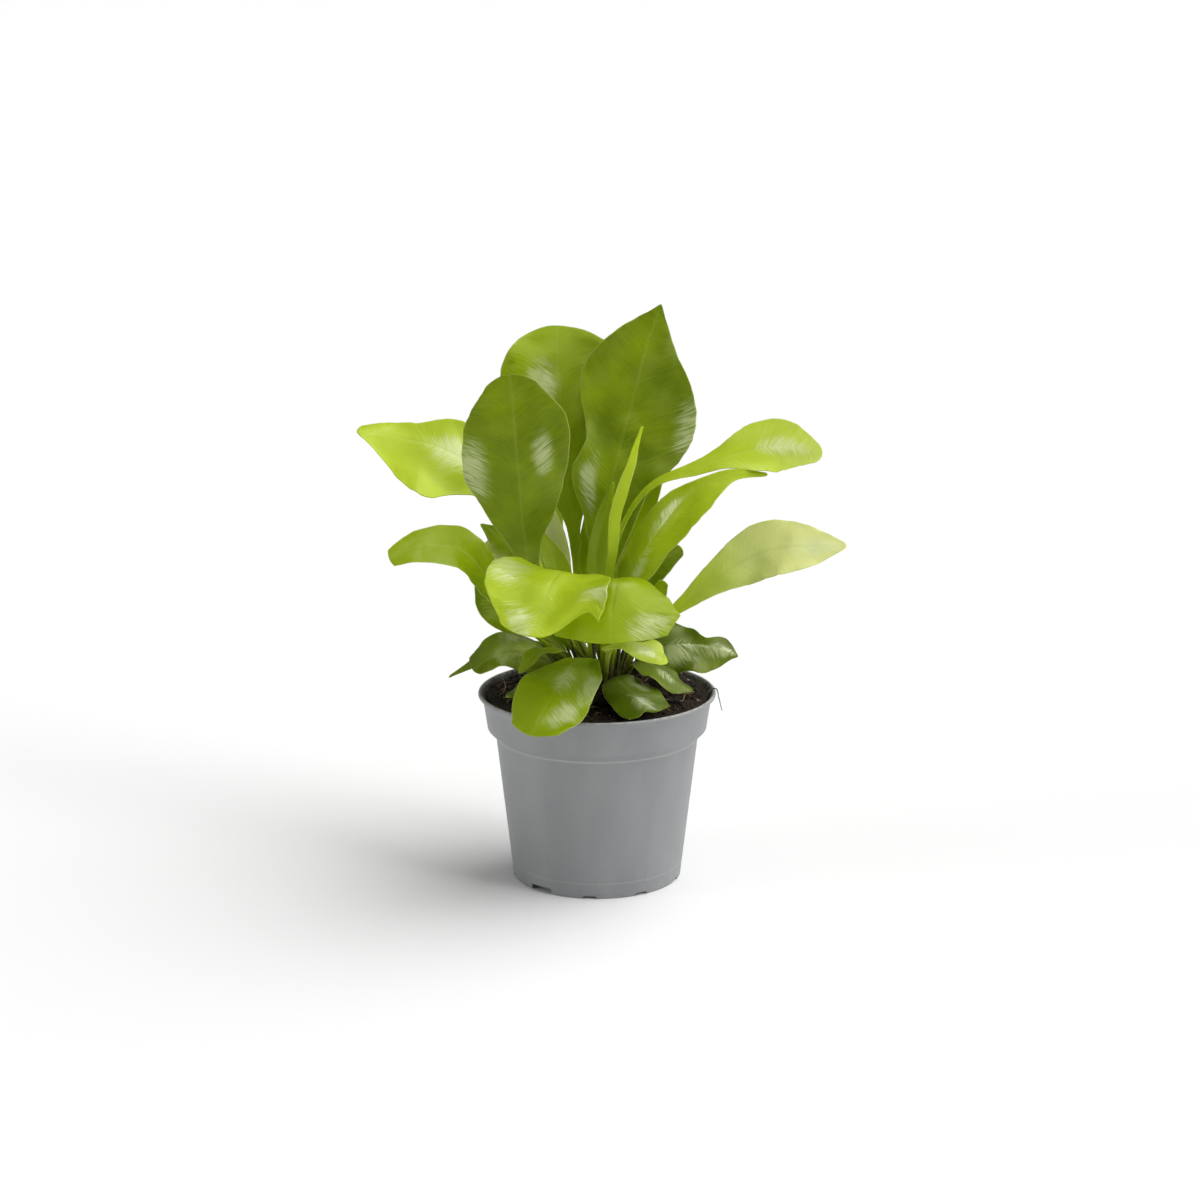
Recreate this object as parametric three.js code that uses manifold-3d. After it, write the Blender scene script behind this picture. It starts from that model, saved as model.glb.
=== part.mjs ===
// Potted fern with broad, undivided fronds, in a plain grey nursery pot.
// Millimetres, +Z up. The origin is the middle of the pot's underside.
import * as THREE from "three";
import { mergeVertices } from "three/addons/utils/BufferGeometryUtils.js";
import Module from "manifold-3d";

const wasm = await Module();
wasm.setup();

// ---- driving dimensions ----
const GAP = 0.3; // clearance between touching pieces

const POT_HEIGHT = 96;
const RIM_RADIUS = 60; // outside of the lip
const FOOT_RADIUS = 42.6; // outside of the foot ring
const WALL = 1.2; // plastic wall
const LIP_WIDTH = 1.6; // flat top of the lip
const LIP_EDGE = 1.4; // height of the lip's upright edge
const LIP_ROUND = 0.4; // bevel of the lip's outer corner
const LIP_STEP = [1.2, 1]; // the lip's overhang under that edge, and its height
const FLARE = 4.6; // height over which the collar sweeps out to the lip
const INNER_FLARE = 3; // the same on the inside
const COLLAR_TOP = 57.3; // outer radius of the straight collar under the flare
const COLLAR_BOTTOM = 55.3;
const COLLAR_FOOT = 77.7; // height where the collar steps in
const SHOULDER = 73.5; // height where the body starts below the step
const SHOULDER_RADIUS = 51.1;
const INNER_STEP = 0.8; // how much higher the step lies on the inside
const FLOOR = 2.6; // underside of the floor above the ground
const FLOOR_THICK = 1.4;
const PAD_RADIUS = 7; // middle pad of the floor, flush with the foot ring
const FOOT_WIDTH = 1.4; // width of the foot ring's underside
const DRAFT = 0.6; // slant of the ring's and the pad's sides
const BEVEL = 2; // bevel between the wall and the floor, inside
const POT_SIDES = 48;

const NOTCHES = 10; // drainage notches in the foot ring
const WIDE_EVERY = 5; // every fifth notch is a wide one
const FIRST_NOTCH = -131; // degrees
const WIDE_NOTCH = [13, 3]; // width, height
const NARROW_NOTCH = [7, 1.4];
const DRAINS = 4; // holes through the floor
const DRAIN_RADIUS = 4.2;
const DRAIN_CIRCLE = 30;
const CUT = 10; // length of what cuts the notches and the holes

const SOIL_EDGE = 93.6; // height of the soil at the wall
const SOIL_MOUND = 3.6; // rise towards the crown
const SOIL_RINGS = 6;
const SOIL_SIDES = POT_SIDES;
const SOIL_SLACK = GAP + 0.15; // from the flat facets of the wall to those of the soil

const CROWN = { x: 2, y: 4, z: 94, radius: 16.5, height: 9 }; // short scaly rhizome
const CROWN_RINGS = 5; // rings of seats that its radius would hold
const SEAT_PITCH = 4.2; // distance between frond stalks in the crown
const SEAT_DEPTH = 3; // how far a stalk is sunk
const SEAT_RISE = 3; // straight length of a stalk above its socket
const SEAT_LEAN = 0.14; // outward lean of the stalks, more on each ring
const STALK = 1.1; // half width of a frond stalk
const STALK_ROWS = 4;
const SOCKET = STALK + 0.8; // radius of a stalk's six-sided socket
const EDGE = 0.6; // thickness of a blade at its margin
const RIB = 1.0; // thickness of a blade at its midrib
const TIP = 0.45; // least half width of a blade
const RUFFLED = 8; // half width from which a ruffle has its full height

const { degToRad: rad, lerp, clamp, smoothstep } = THREE.MathUtils;

// ---- helpers ----
function solid(geometry) {
  const g = geometry.clone();
  g.deleteAttribute("normal");
  g.deleteAttribute("uv");
  const merged = mergeVertices(g, 1e-4);
  return new wasm.Manifold(
    new wasm.Mesh({
      numProp: 3,
      vertProperties: new Float32Array(merged.attributes.position.array),
      triVerts: new Uint32Array(merged.index.array),
    }),
  );
}

function geometryOf(manifold) {
  const mesh = manifold.getMesh();
  const g = new THREE.BufferGeometry();
  g.setAttribute("position", new THREE.BufferAttribute(new Float32Array(mesh.vertProperties), 3));
  g.setIndex(new THREE.BufferAttribute(new Uint32Array(mesh.triVerts), 1));
  g.computeVertexNormals();
  return g;
}

// A closed body between an under and an upper sheet, each of `rows` rows of `columns` points. Both sheets
// are split along the same diagonals, so a thin body never crosses itself.
function sheetBody(under, upper, rows, columns) {
  const g = new THREE.BufferGeometry().setFromPoints([...under, ...upper]);
  const above = rows * columns;
  const at = (i, j) => i * columns + j;
  const index = [];
  for (let i = 0; i < rows - 1; i++) {
    for (let j = 0; j < columns - 1; j++) {
      const [a, b, c, d] = [at(i, j), at(i + 1, j), at(i + 1, j + 1), at(i, j + 1)];
      index.push(a, b, c, a, c, d);
      index.push(above + a, above + c, above + b, above + a, above + d, above + c);
    }
    for (const [p, q] of [
      [at(i + 1, 0), at(i, 0)],
      [at(i, columns - 1), at(i + 1, columns - 1)],
    ]) {
      index.push(p, q, above + q, p, above + q, above + p);
    }
  }
  for (let j = 0; j < columns - 1; j++) {
    for (const [p, q] of [
      [at(0, j), at(0, j + 1)],
      [at(rows - 1, j + 1), at(rows - 1, j)],
    ]) {
      index.push(p, q, above + q, p, above + q, above + p);
    }
  }
  g.setIndex(index);
  g.computeVertexNormals();
  return g;
}

// ---- pot ----
const POT_FLOOR = FLOOR + FLOOR_THICK;

// [radius, height] of the pot's walls, from the foot up
const OUTER = [
  [FOOT_RADIUS, 0],
  [SHOULDER_RADIUS, SHOULDER],
  [COLLAR_BOTTOM, COLLAR_FOOT],
  [COLLAR_TOP, POT_HEIGHT - FLARE],
  [RIM_RADIUS - LIP_STEP[0], POT_HEIGHT - LIP_EDGE - LIP_STEP[1]],
];
const INNER = [
  [FOOT_RADIUS - WALL - DRAFT * 2, POT_FLOOR],
  [FOOT_RADIUS - WALL + DRAFT, POT_FLOOR + BEVEL],
  [SHOULDER_RADIUS - WALL, SHOULDER + INNER_STEP],
  [COLLAR_BOTTOM - WALL, COLLAR_FOOT + INNER_STEP],
  [COLLAR_TOP - WALL, POT_HEIGHT - INNER_FLARE],
];

function potGeometry() {
  const profile = [
    [0, 0],
    [PAD_RADIUS, 0],
    [PAD_RADIUS + DRAFT, FLOOR],
    [FOOT_RADIUS - FOOT_WIDTH - DRAFT, FLOOR],
    [FOOT_RADIUS - FOOT_WIDTH, 0],
    ...OUTER,
    [RIM_RADIUS, POT_HEIGHT - LIP_EDGE],
    [RIM_RADIUS - LIP_ROUND, POT_HEIGHT],
    [RIM_RADIUS - LIP_WIDTH, POT_HEIGHT],
    ...INNER.toReversed(),
    [0, POT_FLOOR],
  ];
  const points = profile.map((p) => new THREE.Vector2(...p));
  let pot = solid(new THREE.LatheGeometry(points, POT_SIDES).rotateX(Math.PI / 2));
  for (let k = 0; k < NOTCHES; k++) {
    const [width, height] = k % WIDE_EVERY ? NARROW_NOTCH : WIDE_NOTCH;
    const turn = rad(FIRST_NOTCH + (360 / NOTCHES) * k);
    const notch = new THREE.BoxGeometry(CUT, width, 2 * height).translate(FOOT_RADIUS, 0, 0).rotateZ(turn);
    pot = pot.subtract(solid(notch));
  }
  for (let k = 0; k < DRAINS; k++) {
    const drain = new THREE.CylinderGeometry(DRAIN_RADIUS, DRAIN_RADIUS, CUT, 12).rotateX(Math.PI / 2);
    pot = pot.subtract(solid(drain.translate(DRAIN_CIRCLE, 0, FLOOR).rotateZ((2 * Math.PI * k) / DRAINS)));
  }
  return geometryOf(pot);
}

// ---- crown and soil ----
function crownGeometry(grow = 0) {
  const g = new THREE.IcosahedronGeometry(1, 2);
  const p = g.attributes.position;
  const at = new THREE.Vector3();
  for (let i = 0; i < p.count; i++) {
    at.fromBufferAttribute(p, i);
    const lump = 1 + 0.05 * Math.sin(5 * at.x + 2 * at.z) + 0.04 * Math.sin(6 * at.y - 3 * at.z + 1);
    const wide = CROWN.radius * lump + grow;
    p.setXYZ(i, at.x * wide, at.y * wide, at.z * (CROWN.height * lump + grow));
  }
  return g.translate(CROWN.x, CROWN.y, CROWN.z);
}

function soilTop(x, y) {
  const r = Math.hypot(x, y) / COLLAR_TOP;
  const clods = Math.sin(0.31 * x + 1) * Math.sin(0.27 * y + 0.4) + 0.6 * Math.sin(0.53 * x - 0.47 * y);
  return SOIL_EDGE + SOIL_MOUND * (1 - r * r) + 0.7 * clods;
}

// The plug of potting soil fills the pot from its floor, a ring of points at a time.
function soilGeometry() {
  const floor = POT_FLOOR + GAP;
  const rings = [{ r: INNER[0][0] - 2 * SOIL_SLACK, height: () => floor }];
  for (const [r, z] of INNER.slice(1, -1)) rings.push({ r: r - SOIL_SLACK, height: () => z });
  for (let k = 0; k < SOIL_RINGS; k++) {
    rings.push({ r: (COLLAR_TOP - WALL - SOIL_SLACK) * (1 - k / SOIL_RINGS), height: soilTop });
  }
  const points = [];
  for (const { r, height } of rings) {
    for (let j = 0; j < SOIL_SIDES; j++) {
      const a = (2 * Math.PI * j) / SOIL_SIDES;
      const [x, y] = [r * Math.cos(a), r * Math.sin(a)];
      points.push(new THREE.Vector3(x, y, height(x, y)));
    }
  }
  const bottom = points.length;
  points.push(new THREE.Vector3(0, 0, floor), new THREE.Vector3(0, 0, soilTop(0, 0)));
  const index = [];
  for (let j = 0; j < SOIL_SIDES; j++) {
    const k = (j + 1) % SOIL_SIDES;
    for (let i = 0; i < rings.length - 1; i++) {
      const [a, b] = [i * SOIL_SIDES + j, i * SOIL_SIDES + k];
      index.push(a, b, b + SOIL_SIDES, a, b + SOIL_SIDES, a + SOIL_SIDES);
    }
    const last = (rings.length - 1) * SOIL_SIDES;
    index.push(bottom, k, j, bottom + 1, last + j, last + k);
  }
  const g = new THREE.BufferGeometry().setFromPoints(points);
  g.setIndex(index);
  return geometryOf(solid(g).subtract(solid(crownGeometry(GAP))));
}

// ---- fronds ----
// Each frond has:
//   seat     [ring, place]: its socket in the crown, on rings of 6, 12 and 18 places, from +X round by +Y
//   spine    the midrib beyond the crown, root to tip
//   heading  the way it leans, in degrees from +X round by +Y
//   stalk    share of the length that is bare stalk
//   half     half widths at equal steps along the blade; left and right where the sides differ, seen from
//            above with the tip pointing away
//   end      how far the margins stand back from the midrib at the very tip
//   roll     turn about the midrib at the blade's base and at its tip, in degrees
//   cup      how far each half curls up, in degrees; below 0 it curls down
//   wave     [height, waves, start] of the ruffle along the margins
//   notch    [depth, place, width] of a notch in the end; the place runs from -1, left, to 1, right
const PLAIN = { stalk: 0.35, end: 1, roll: [0, 0], cup: 20, wave: [1, 2, 0], notch: [0, 0, 1] };
const BIG = { rows: 12, columns: 7 };
const SMALL = { rows: 7, columns: 5 };

const FRONDS = {
  tall_right: {
    ...BIG, seat: [1, 1], heading: 90, stalk: 0.24, cup: 14, wave: [1.5, 2.5, 1],
    left: [2, 7, 12, 21, 18, 26, 28, 17, 1], right: [2, 9, 15, 20, 31, 34, 27, 14, 1],
    spine: [[3, 11, 150], [6, 14, 191], [12, 19, 218], [18, 24, 239], [24, 29, 263], [32, 34, 286.5]],
  },
  tall_middle: {
    ...BIG, seat: [1, 2], heading: 95, stalk: 0.34, cup: 10, wave: [1, 2, 2], end: 9,
    left: [2, 4, 10, 19, 26, 30, 29, 20], right: [2, 4, 12, 21, 26, 29, 28, 24],
    spine: [[-9, 17, 140], [-12, 24, 176], [-17, 31, 209], [-19, 39, 241], [-20, 46, 260], [-20, 55, 273]],
  },
  tall_left: {
    ...BIG, seat: [1, 4], heading: 80, stalk: 0.2, cup: 12, wave: [1, 2, 0], end: 5,
    left: [2, 4, 6, 9, 18, 26, 27, 24, 12], right: [2, 3, 5, 8, 17, 23, 27, 26, 13],
    spine: [[-26, -5, 134], [-35, -11, 172], [-38, -15, 207], [-40, -17, 236], [-42, -14, 259]],
  },
  upper_left: {
    ...BIG, seat: [2, 6], heading: 180, stalk: 0.48, roll: [-40, -50], cup: 12, wave: [1.5, 2, 1],
    end: 2,
    left: [2, 10, 19, 33, 30, 18, 3], right: [2, 8, 15, 19, 12, 9, 3],
    spine: [[-21, 4, 142], [-36, 8, 174], [-54, 10, 202], [-76, 11, 217], [-98, 11, 223], [-119, 8, 227]],
  },
  lower_left: {
    ...BIG, seat: [2, 7], heading: 190, stalk: 0.42, roll: [-40, -50], cup: 16, wave: [1, 2, 2],
    half: [2, 8, 12, 13, 12, 9, 5],
    spine: [
      [-23, -3, 119], [-44, -12, 140], [-57, -18, 162], [-70, -23, 175], [-85, -26, 176], [-101, -29, 170],
    ],
  },
  left_dark: {
    ...SMALL, seat: [3, 10], heading: 200, stalk: 0.3, roll: [-75, -75], cup: 20,
    left: [2, 6, 13, 14, 4], right: [2, 7, 10, 9, 2],
    spine: [[-22, 8, 121], [-38, 6, 133], [-50, 4, 143], [-60, 2, 156]],
  },
  front_left: {
    ...BIG, seat: [2, 8], heading: -110, stalk: 0.46, roll: [-5, -5], cup: 20, wave: [1.5, 1.5, 2],
    end: 4, notch: [16.5, -0.75, 0.35], left: [2, 15, 28, 31, 32, 31], right: [2, 21, 30, 31, 27, 16],
    spine: [
      [-5, -12, 136], [-11, -23, 157], [-17, -35, 165], [-22, -50, 163], [-26, -63, 155], [-32, -76, 143],
    ],
  },
  front_right: {
    ...BIG, seat: [2, 9], heading: -90, stalk: 0.42, cup: -14, wave: [1.5, 1.5, 0],
    end: 5, half: [2, 6, 12, 19, 27, 32, 33, 27],
    spine: [[5, -17, 140], [9, -25, 157], [10, -37, 162], [9, -49, 160], [7, -60, 151], [7, -68, 138]],
  },
  front_pale: {
    ...SMALL, seat: [3, 14], heading: -50, stalk: 0.35, cup: -10, half: [2, 9, 13, 12, 3],
    spine: [[6, -20, 121], [13, -36, 130], [22, -46, 131], [33, -55, 124]],
  },
  front_drooping: {
    ...BIG, seat: [3, 13], heading: -105, stalk: 0.22, cup: -10, wave: [2, 2, 1], end: 4,
    half: [2, 10, 16, 19, 20, 18, 13],
    spine: [[-5, -22, 118], [-11, -34, 119], [-17, -48, 113], [-23, -58, 107], [-31, -71, 93]],
  },
  front_small: {
    rows: 8, columns: 7, seat: [3, 15], heading: -50, stalk: 0.2, roll: [10, 10], cup: -14,
    notch: [3, 0.2, 0.25], end: 2, half: [2, 9, 13, 14, 12],
    spine: [[11, -24, 108], [18, -38, 104.5], [27, -52, 98.5]],
  },
  front_bluish: {
    ...SMALL, seat: [3, 16], heading: -30, stalk: 0.25, cup: -10, end: 2,
    left: [2, 6, 8, 7, 3], right: [2, 8, 12, 11, 4],
    spine: [[20, -10, 113], [30, -18, 112], [38, -24, 108], [47, -28, 103]],
  },
  right_dark: {
    ...BIG, seat: [3, 0], heading: 0, stalk: 0.2, roll: [30, 35], cup: -6, wave: [2, 2, 0],
    left: [2, 17, 21, 13, 5, 10, 1], right: [2, 12, 16, 18, 20, 15, 1],
    spine: [[24, 8, 112], [36, 7, 117], [48, 6, 118], [60, 4, 117], [71, 1, 113]],
  },
  left_low: {
    ...SMALL, seat: [3, 9], heading: 185, stalk: 0.3, roll: [-30, -30], cup: -10, end: 2,
    left: [2, 8, 9, 8, 5], right: [2, 12, 16, 16, 11],
    spine: [[-25, -3, 111], [-38, -5, 116], [-50, -7, 116], [-62, -10, 109]],
  },
  left_thin: {
    ...SMALL, seat: [3, 8], heading: 165, stalk: 0.15, roll: [-70, -25], half: [3, 8, 9, 7, 4, 3, 1],
    spine: [[-34, 16, 109], [-49, 19, 109], [-64, 20, 104], [-76, 21, 97]],
  },
  far_right: {
    ...BIG, seat: [2, 0], heading: 0, stalk: 0.3, roll: [60, 55], cup: 10, wave: [1, 2, 0],
    half: [2, 5, 9, 14, 15, 11, 2],
    spine: [[24, 4, 124], [45, 4, 141], [64, 4, 156], [84, 3, 167], [105, 0, 170], [124, -2, 171]],
  },
  upper_right: {
    ...BIG, seat: [2, 11], heading: -10, stalk: 0.5, roll: [40, 60], cup: 10, wave: [1, 2, 0], end: 3,
    half: [2, 2.5, 4, 7, 13, 13, 5],
    spine: [
      [6, -6, 150], [13, -12, 184], [27, -15, 204], [48, -17, 213],
      [72, -16, 221], [90, -15, 224], [110, -14, 219],
    ],
  },
  middle_right: {
    ...BIG, seat: [2, 10], heading: -20, stalk: 0.24, roll: [60, 60], cup: 20,
    left: [3, 6, 11, 12, 9, 5, 3, 1], right: [3, 9, 13, 16, 19, 14, 4, 1],
    spine: [[13, -12, 146], [22, -18, 168], [33, -22, 187], [48, -25, 203], [64, -25, 211], [83, -22, 211]],
  },
  slim_upright: {
    ...SMALL, seat: [1, 5], heading: -80, stalk: 0.2, roll: [40, 50], cup: 60, half: [2, 3, 5, 6, 5, 1],
    spine: [[5, -11, 140], [8, -16, 165], [13, -22, 196], [22, -28, 236]],
  },
  slim_middle: {
    ...SMALL, seat: [0, 0], heading: -80, stalk: 0.2, roll: [-30, -30], cup: 40, half: [2, 4, 6, 6, 4, 1],
    spine: [[0, -1, 140], [0, -3, 166], [3, -4, 185], [8, -5, 204]],
  },
  pale_back: {
    ...SMALL, seat: [2, 4], heading: 110, stalk: 0.4, half: [2, 5, 7, 6, 1],
    spine: [[-14, 19, 132], [-19, 26, 153], [-23, 29, 170], [-24, 32, 187]],
  },
  glossy_back: {
    ...SMALL, seat: [1, 3], heading: 140, stalk: 0.4, roll: [-20, -20], half: [2, 5, 7, 6, 2],
    spine: [[-14, 9, 132], [-19, 12, 150], [-23, 15, 162], [-28, 17, 173]],
  },
  sliver_back: {
    ...SMALL, seat: [2, 3], heading: 90, stalk: 0.5, cup: 30, half: [1, 3, 4, 3, 0.5],
    spine: [[-4, 28, 128], [-6, 34, 150], [-6, 37, 166], [-6, 40, 178]],
  },
  dark_left_back: {
    ...SMALL, seat: [3, 7], heading: 150, stalk: 0.4, roll: [-40, -40], half: [2, 7, 9, 8, 1],
    spine: [[-20, 16, 130], [-34, 20, 151], [-46, 24, 166], [-59, 26, 176]],
  },
  dark_right_back: {
    ...SMALL, seat: [2, 1], heading: 40, stalk: 0.4, roll: [40, 40], end: 2, half: [2, 5, 7, 7, 4],
    spine: [[13, 15, 128], [23, 20, 146], [33, 22, 157], [43, 24, 164]],
  },
  pale_right_back: {
    ...SMALL, seat: [3, 1], heading: 30, stalk: 0.4, roll: [40, 40], end: 1, half: [2, 4, 5, 5, 3],
    spine: [[20, 12, 120], [27, 14, 133], [31, 15, 142], [34, 15, 149]],
  },
  soil_left: {
    ...SMALL, seat: [3, 12], heading: 215, stalk: 0.35, cup: 5, end: 3, half: [2, 5, 7, 7, 4],
    spine: [[-14, -18, 109], [-24, -28, 108], [-34, -38, 107], [-44, -45, 105]],
  },
  low_left: {
    ...SMALL, seat: [3, 11], heading: 205, stalk: 0.35, cup: 5, end: 2, half: [2, 5, 7, 7, 3],
    spine: [[-16, -8, 118], [-24, -13, 121], [-32, -19, 118], [-38, -24, 111]],
  },
  back_tall_right: {
    ...BIG, seat: [2, 2], heading: 70, stalk: 0.3, cup: 14, half: [2, 8, 15, 20, 21, 15, 2],
    spine: [[8, 20, 145], [13, 33, 180], [17, 46, 214], [20, 62, 238]],
  },
  back_tall_left: {
    ...BIG, seat: [3, 6], heading: 125, stalk: 0.35, cup: 12, half: [2, 8, 14, 19, 19, 13, 3],
    spine: [[-19, 32, 142], [-30, 45, 176], [-38, 58, 206], [-44, 74, 224]],
  },
  back_right: {
    ...BIG, seat: [3, 2], heading: 65, stalk: 0.4, cup: 12, half: [2, 8, 12, 13, 12, 8, 3],
    spine: [[16, 22, 126], [20, 38, 148], [24, 56, 157], [27, 74, 152], [29, 86, 138]],
  },
  back_low_right: {
    ...BIG, seat: [3, 4], heading: 78, stalk: 0.35, cup: -12, end: 6, half: [2, 10, 16, 18, 16, 9],
    spine: [[8, 22, 115], [12, 40, 119], [14, 57, 114], [16, 72, 99]],
  },
  back_low_left: {
    ...BIG, seat: [3, 5], heading: 105, stalk: 0.35, cup: -12, end: 5, half: [2, 8, 12, 14, 13, 8],
    spine: [[-8, 24, 114], [-12, 41, 117], [-15, 57, 112], [-18, 70, 98]],
  },
  back_left: {
    ...BIG, seat: [2, 5], heading: 150, stalk: 0.4, roll: [-20, -30], cup: 12,
    half: [2, 8, 12, 13, 12, 8, 3],
    spine: [[-17, 23.5, 130], [-36, 42, 152], [-50, 59, 158], [-63, 70, 151], [-70, 75, 143]],
  },
};

// The value at share t of a row of equally spaced values, on a smooth curve through them.
function smooth(values, t) {
  const last = values.length - 1;
  const i = Math.min(Math.floor(t * last), last - 1);
  const s = t * last - i;
  const [b, c] = [values[i], values[i + 1]];
  const a = i > 0 ? values[i - 1] : 2 * b - c;
  const d = i + 2 > last ? 2 * c - b : values[i + 2];
  return b + 0.5 * s * (c - a + s * (2 * a - 5 * b + 4 * c - d + s * (3 * (b - c) + d - a)));
}

// The midrib starts in its socket in the crown, leaves it with a slight lean and then follows the spine.
function spineOf(f) {
  const [ring, place] = f.seat;
  const turn = ring ? (2 * Math.PI * place) / (6 * ring) : 0;
  const out = new THREE.Vector3(Math.cos(turn), Math.sin(turn), 0).multiplyScalar(ring ? 1 : 0);
  const rise = CROWN.height * Math.sqrt(1 - (ring / CROWN_RINGS) ** 2);
  const top = new THREE.Vector3(CROWN.x, CROWN.y, CROWN.z + rise);
  const lean = new THREE.Vector3(0, 0, 1).addScaledVector(out, SEAT_LEAN * ring).normalize();
  const foot = top.addScaledVector(out, ring * SEAT_PITCH).addScaledVector(lean, -SEAT_DEPTH);
  const mouth = foot.clone().addScaledVector(lean, SEAT_DEPTH + SEAT_RISE);
  return [foot, mouth, ...f.spine.map((p) => new THREE.Vector3(...p))];
}

// The point (u, v) of a frond's middle sheet: u from root to tip, v from -1 at its left margin to 1.
function frondSheet(f) {
  const curve = new THREE.CatmullRomCurve3(spineOf(f));
  const heading = rad(f.heading);
  const level = new THREE.Vector3(Math.sin(heading), -Math.cos(heading), 0);
  const left = f.left || f.half;
  const right = f.right || f.half;
  const cup = rad(f.cup) || 1e-3;
  return (u, v) => {
    const b = clamp((u - f.stalk) / (1 - f.stalk), 0, 1);
    const blade = smooth(v < 0 ? left : right, b);
    const half = u < f.stalk ? lerp(STALK, blade, (u / f.stalk) ** 2) : Math.max(TIP, blade);
    const along = curve.getTangentAt(u);
    const side = level.clone().addScaledVector(along, -level.dot(along)).normalize();
    const face = new THREE.Vector3().crossVectors(side, along);
    const roll = rad(lerp(f.roll[0], f.roll[1], b)) * smoothstep(u, 0, f.stalk);
    const across = side.clone().multiplyScalar(Math.cos(roll)).addScaledVector(face, -Math.sin(roll));
    const up = face.multiplyScalar(Math.cos(roll)).addScaledVector(side, Math.sin(roll));
    const [height, waves, start] = f.wave;
    const [depth, place, width] = f.notch;
    const swing = height * Math.min(1, half / RUFFLED) * smoothstep(b, 0, 0.3);
    const ruffle = swing * Math.abs(v) ** 1.5 * Math.sin(2 * Math.PI * waves * b + start);
    const cut = f.end * v * v + depth * Math.exp(-(((v - place) / width) ** 2));
    return curve.getPointAt(u)
      .addScaledVector(across, (half * Math.sin(v * cup)) / cup)
      .addScaledVector(up, (half * (1 - Math.cos(v * cup))) / cup + ruffle)
      .addScaledVector(along, -cut * smoothstep(b, 0.5, 1));
  };
}

function frondGeometry(f) {
  const sheet = frondSheet(f);
  const stations = [];
  for (let i = 0; i < STALK_ROWS; i++) stations.push((f.stalk * i) / STALK_ROWS);
  for (let i = 0; i <= f.rows; i++) stations.push(lerp(f.stalk, 1, i / f.rows));
  const under = [];
  const upper = [];
  const step = 1e-3;
  for (const u of stations) {
    for (let j = 0; j < f.columns; j++) {
      const v = -1 + (2 * j) / (f.columns - 1);
      const du = sheet(Math.min(u + step, 1), v).sub(sheet(Math.max(u - step, 0), v));
      const dv = sheet(u, Math.min(v + step, 1)).sub(sheet(u, Math.max(v - step, -1)));
      const normal = dv.cross(du).normalize();
      const b = Math.max(0, (u - f.stalk) / (1 - f.stalk));
      const blade = EDGE + (RIB - EDGE) * (1 - Math.abs(v)) ** 3;
      const round = 2 * STALK * Math.sqrt(1 - (0.9 * v) ** 2);
      const half = lerp(round, blade, smoothstep(b, -0.3, 0.3)) / 2;
      const middle = sheet(u, v);
      under.push(middle.clone().addScaledVector(normal, -half));
      upper.push(middle.clone().addScaledVector(normal, half));
    }
  }
  return sheetBody(under, upper, stations.length, f.columns);
}

// ---- materials ----
const plastic = new THREE.MeshStandardMaterial({ color: "#96989a", roughness: 0.55, metalness: 0 });
const earth = new THREE.MeshStandardMaterial({ color: "#2c211a", roughness: 0.95, metalness: 0 });
const scaly = new THREE.MeshStandardMaterial({ color: "#3a2a1c", roughness: 0.9, metalness: 0 });
const leaf = new THREE.MeshStandardMaterial({ color: "#738c0a", roughness: 0.4, metalness: 0 });

// ---- assembly ----
const plant = new THREE.Group();

function add(name, geometry, material) {
  const mesh = new THREE.Mesh(geometry, material);
  mesh.name = name;
  plant.add(mesh);
}

function socket(f) {
  const [foot, mouth] = spineOf(f);
  const way = mouth.clone().sub(foot).normalize();
  const length = SEAT_DEPTH + SEAT_RISE;
  const drill = new THREE.CylinderGeometry(SOCKET, SOCKET, 2 * length, 6);
  drill.applyQuaternion(new THREE.Quaternion().setFromUnitVectors(new THREE.Vector3(0, 1, 0), way));
  const middle = foot.addScaledVector(way, length - GAP);
  return solid(drill.translate(...middle.toArray()));
}

add("pot", potGeometry(), plastic);
add("soil", soilGeometry(), earth);
let crown = solid(crownGeometry());
for (const f of Object.values(FRONDS)) crown = crown.subtract(socket(f));
add("crown", geometryOf(crown), scaly);
for (const [name, f] of Object.entries(FRONDS)) {
  add(`frond_${name}`, frondGeometry({ ...PLAIN, ...f }), leaf);
}

export default plant;
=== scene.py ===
"""A potted fern with broad, undivided fronds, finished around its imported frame.

It is laid out as an add-on: one operator for each piece or group of pieces and one for the stage.
Lengths are in metres unless a name says millimetres.
"""

import math
import random

import bmesh
import bpy
from bpy.props import FloatProperty, FloatVectorProperty, IntProperty, PointerProperty
from mathutils import Color, Matrix, Vector, noise


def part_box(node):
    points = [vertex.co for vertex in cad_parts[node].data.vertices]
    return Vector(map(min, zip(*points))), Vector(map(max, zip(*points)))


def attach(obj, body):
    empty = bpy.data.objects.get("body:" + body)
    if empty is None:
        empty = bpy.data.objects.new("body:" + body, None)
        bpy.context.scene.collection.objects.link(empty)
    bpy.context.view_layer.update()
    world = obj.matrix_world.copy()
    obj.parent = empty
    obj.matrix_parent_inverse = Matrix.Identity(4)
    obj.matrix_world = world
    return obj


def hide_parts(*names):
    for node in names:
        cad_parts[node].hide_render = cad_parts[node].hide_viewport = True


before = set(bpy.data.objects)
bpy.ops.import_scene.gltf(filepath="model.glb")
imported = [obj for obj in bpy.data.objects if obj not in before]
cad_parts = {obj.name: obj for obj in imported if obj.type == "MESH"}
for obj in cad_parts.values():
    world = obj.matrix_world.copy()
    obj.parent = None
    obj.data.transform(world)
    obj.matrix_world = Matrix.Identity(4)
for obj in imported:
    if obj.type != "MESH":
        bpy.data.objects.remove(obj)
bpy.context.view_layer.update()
POT_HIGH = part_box("pot")[1]

bl_info = {
    "name": "Potted fern",
    "version": (1, 0, 0),
    "blender": (4, 5, 0),
    "location": "3D View > Sidebar > Fern",
    "description": "Builds a potted fern with broad fronds around its packed frame",
    "category": "Add Mesh",
}

MM = 0.001


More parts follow.
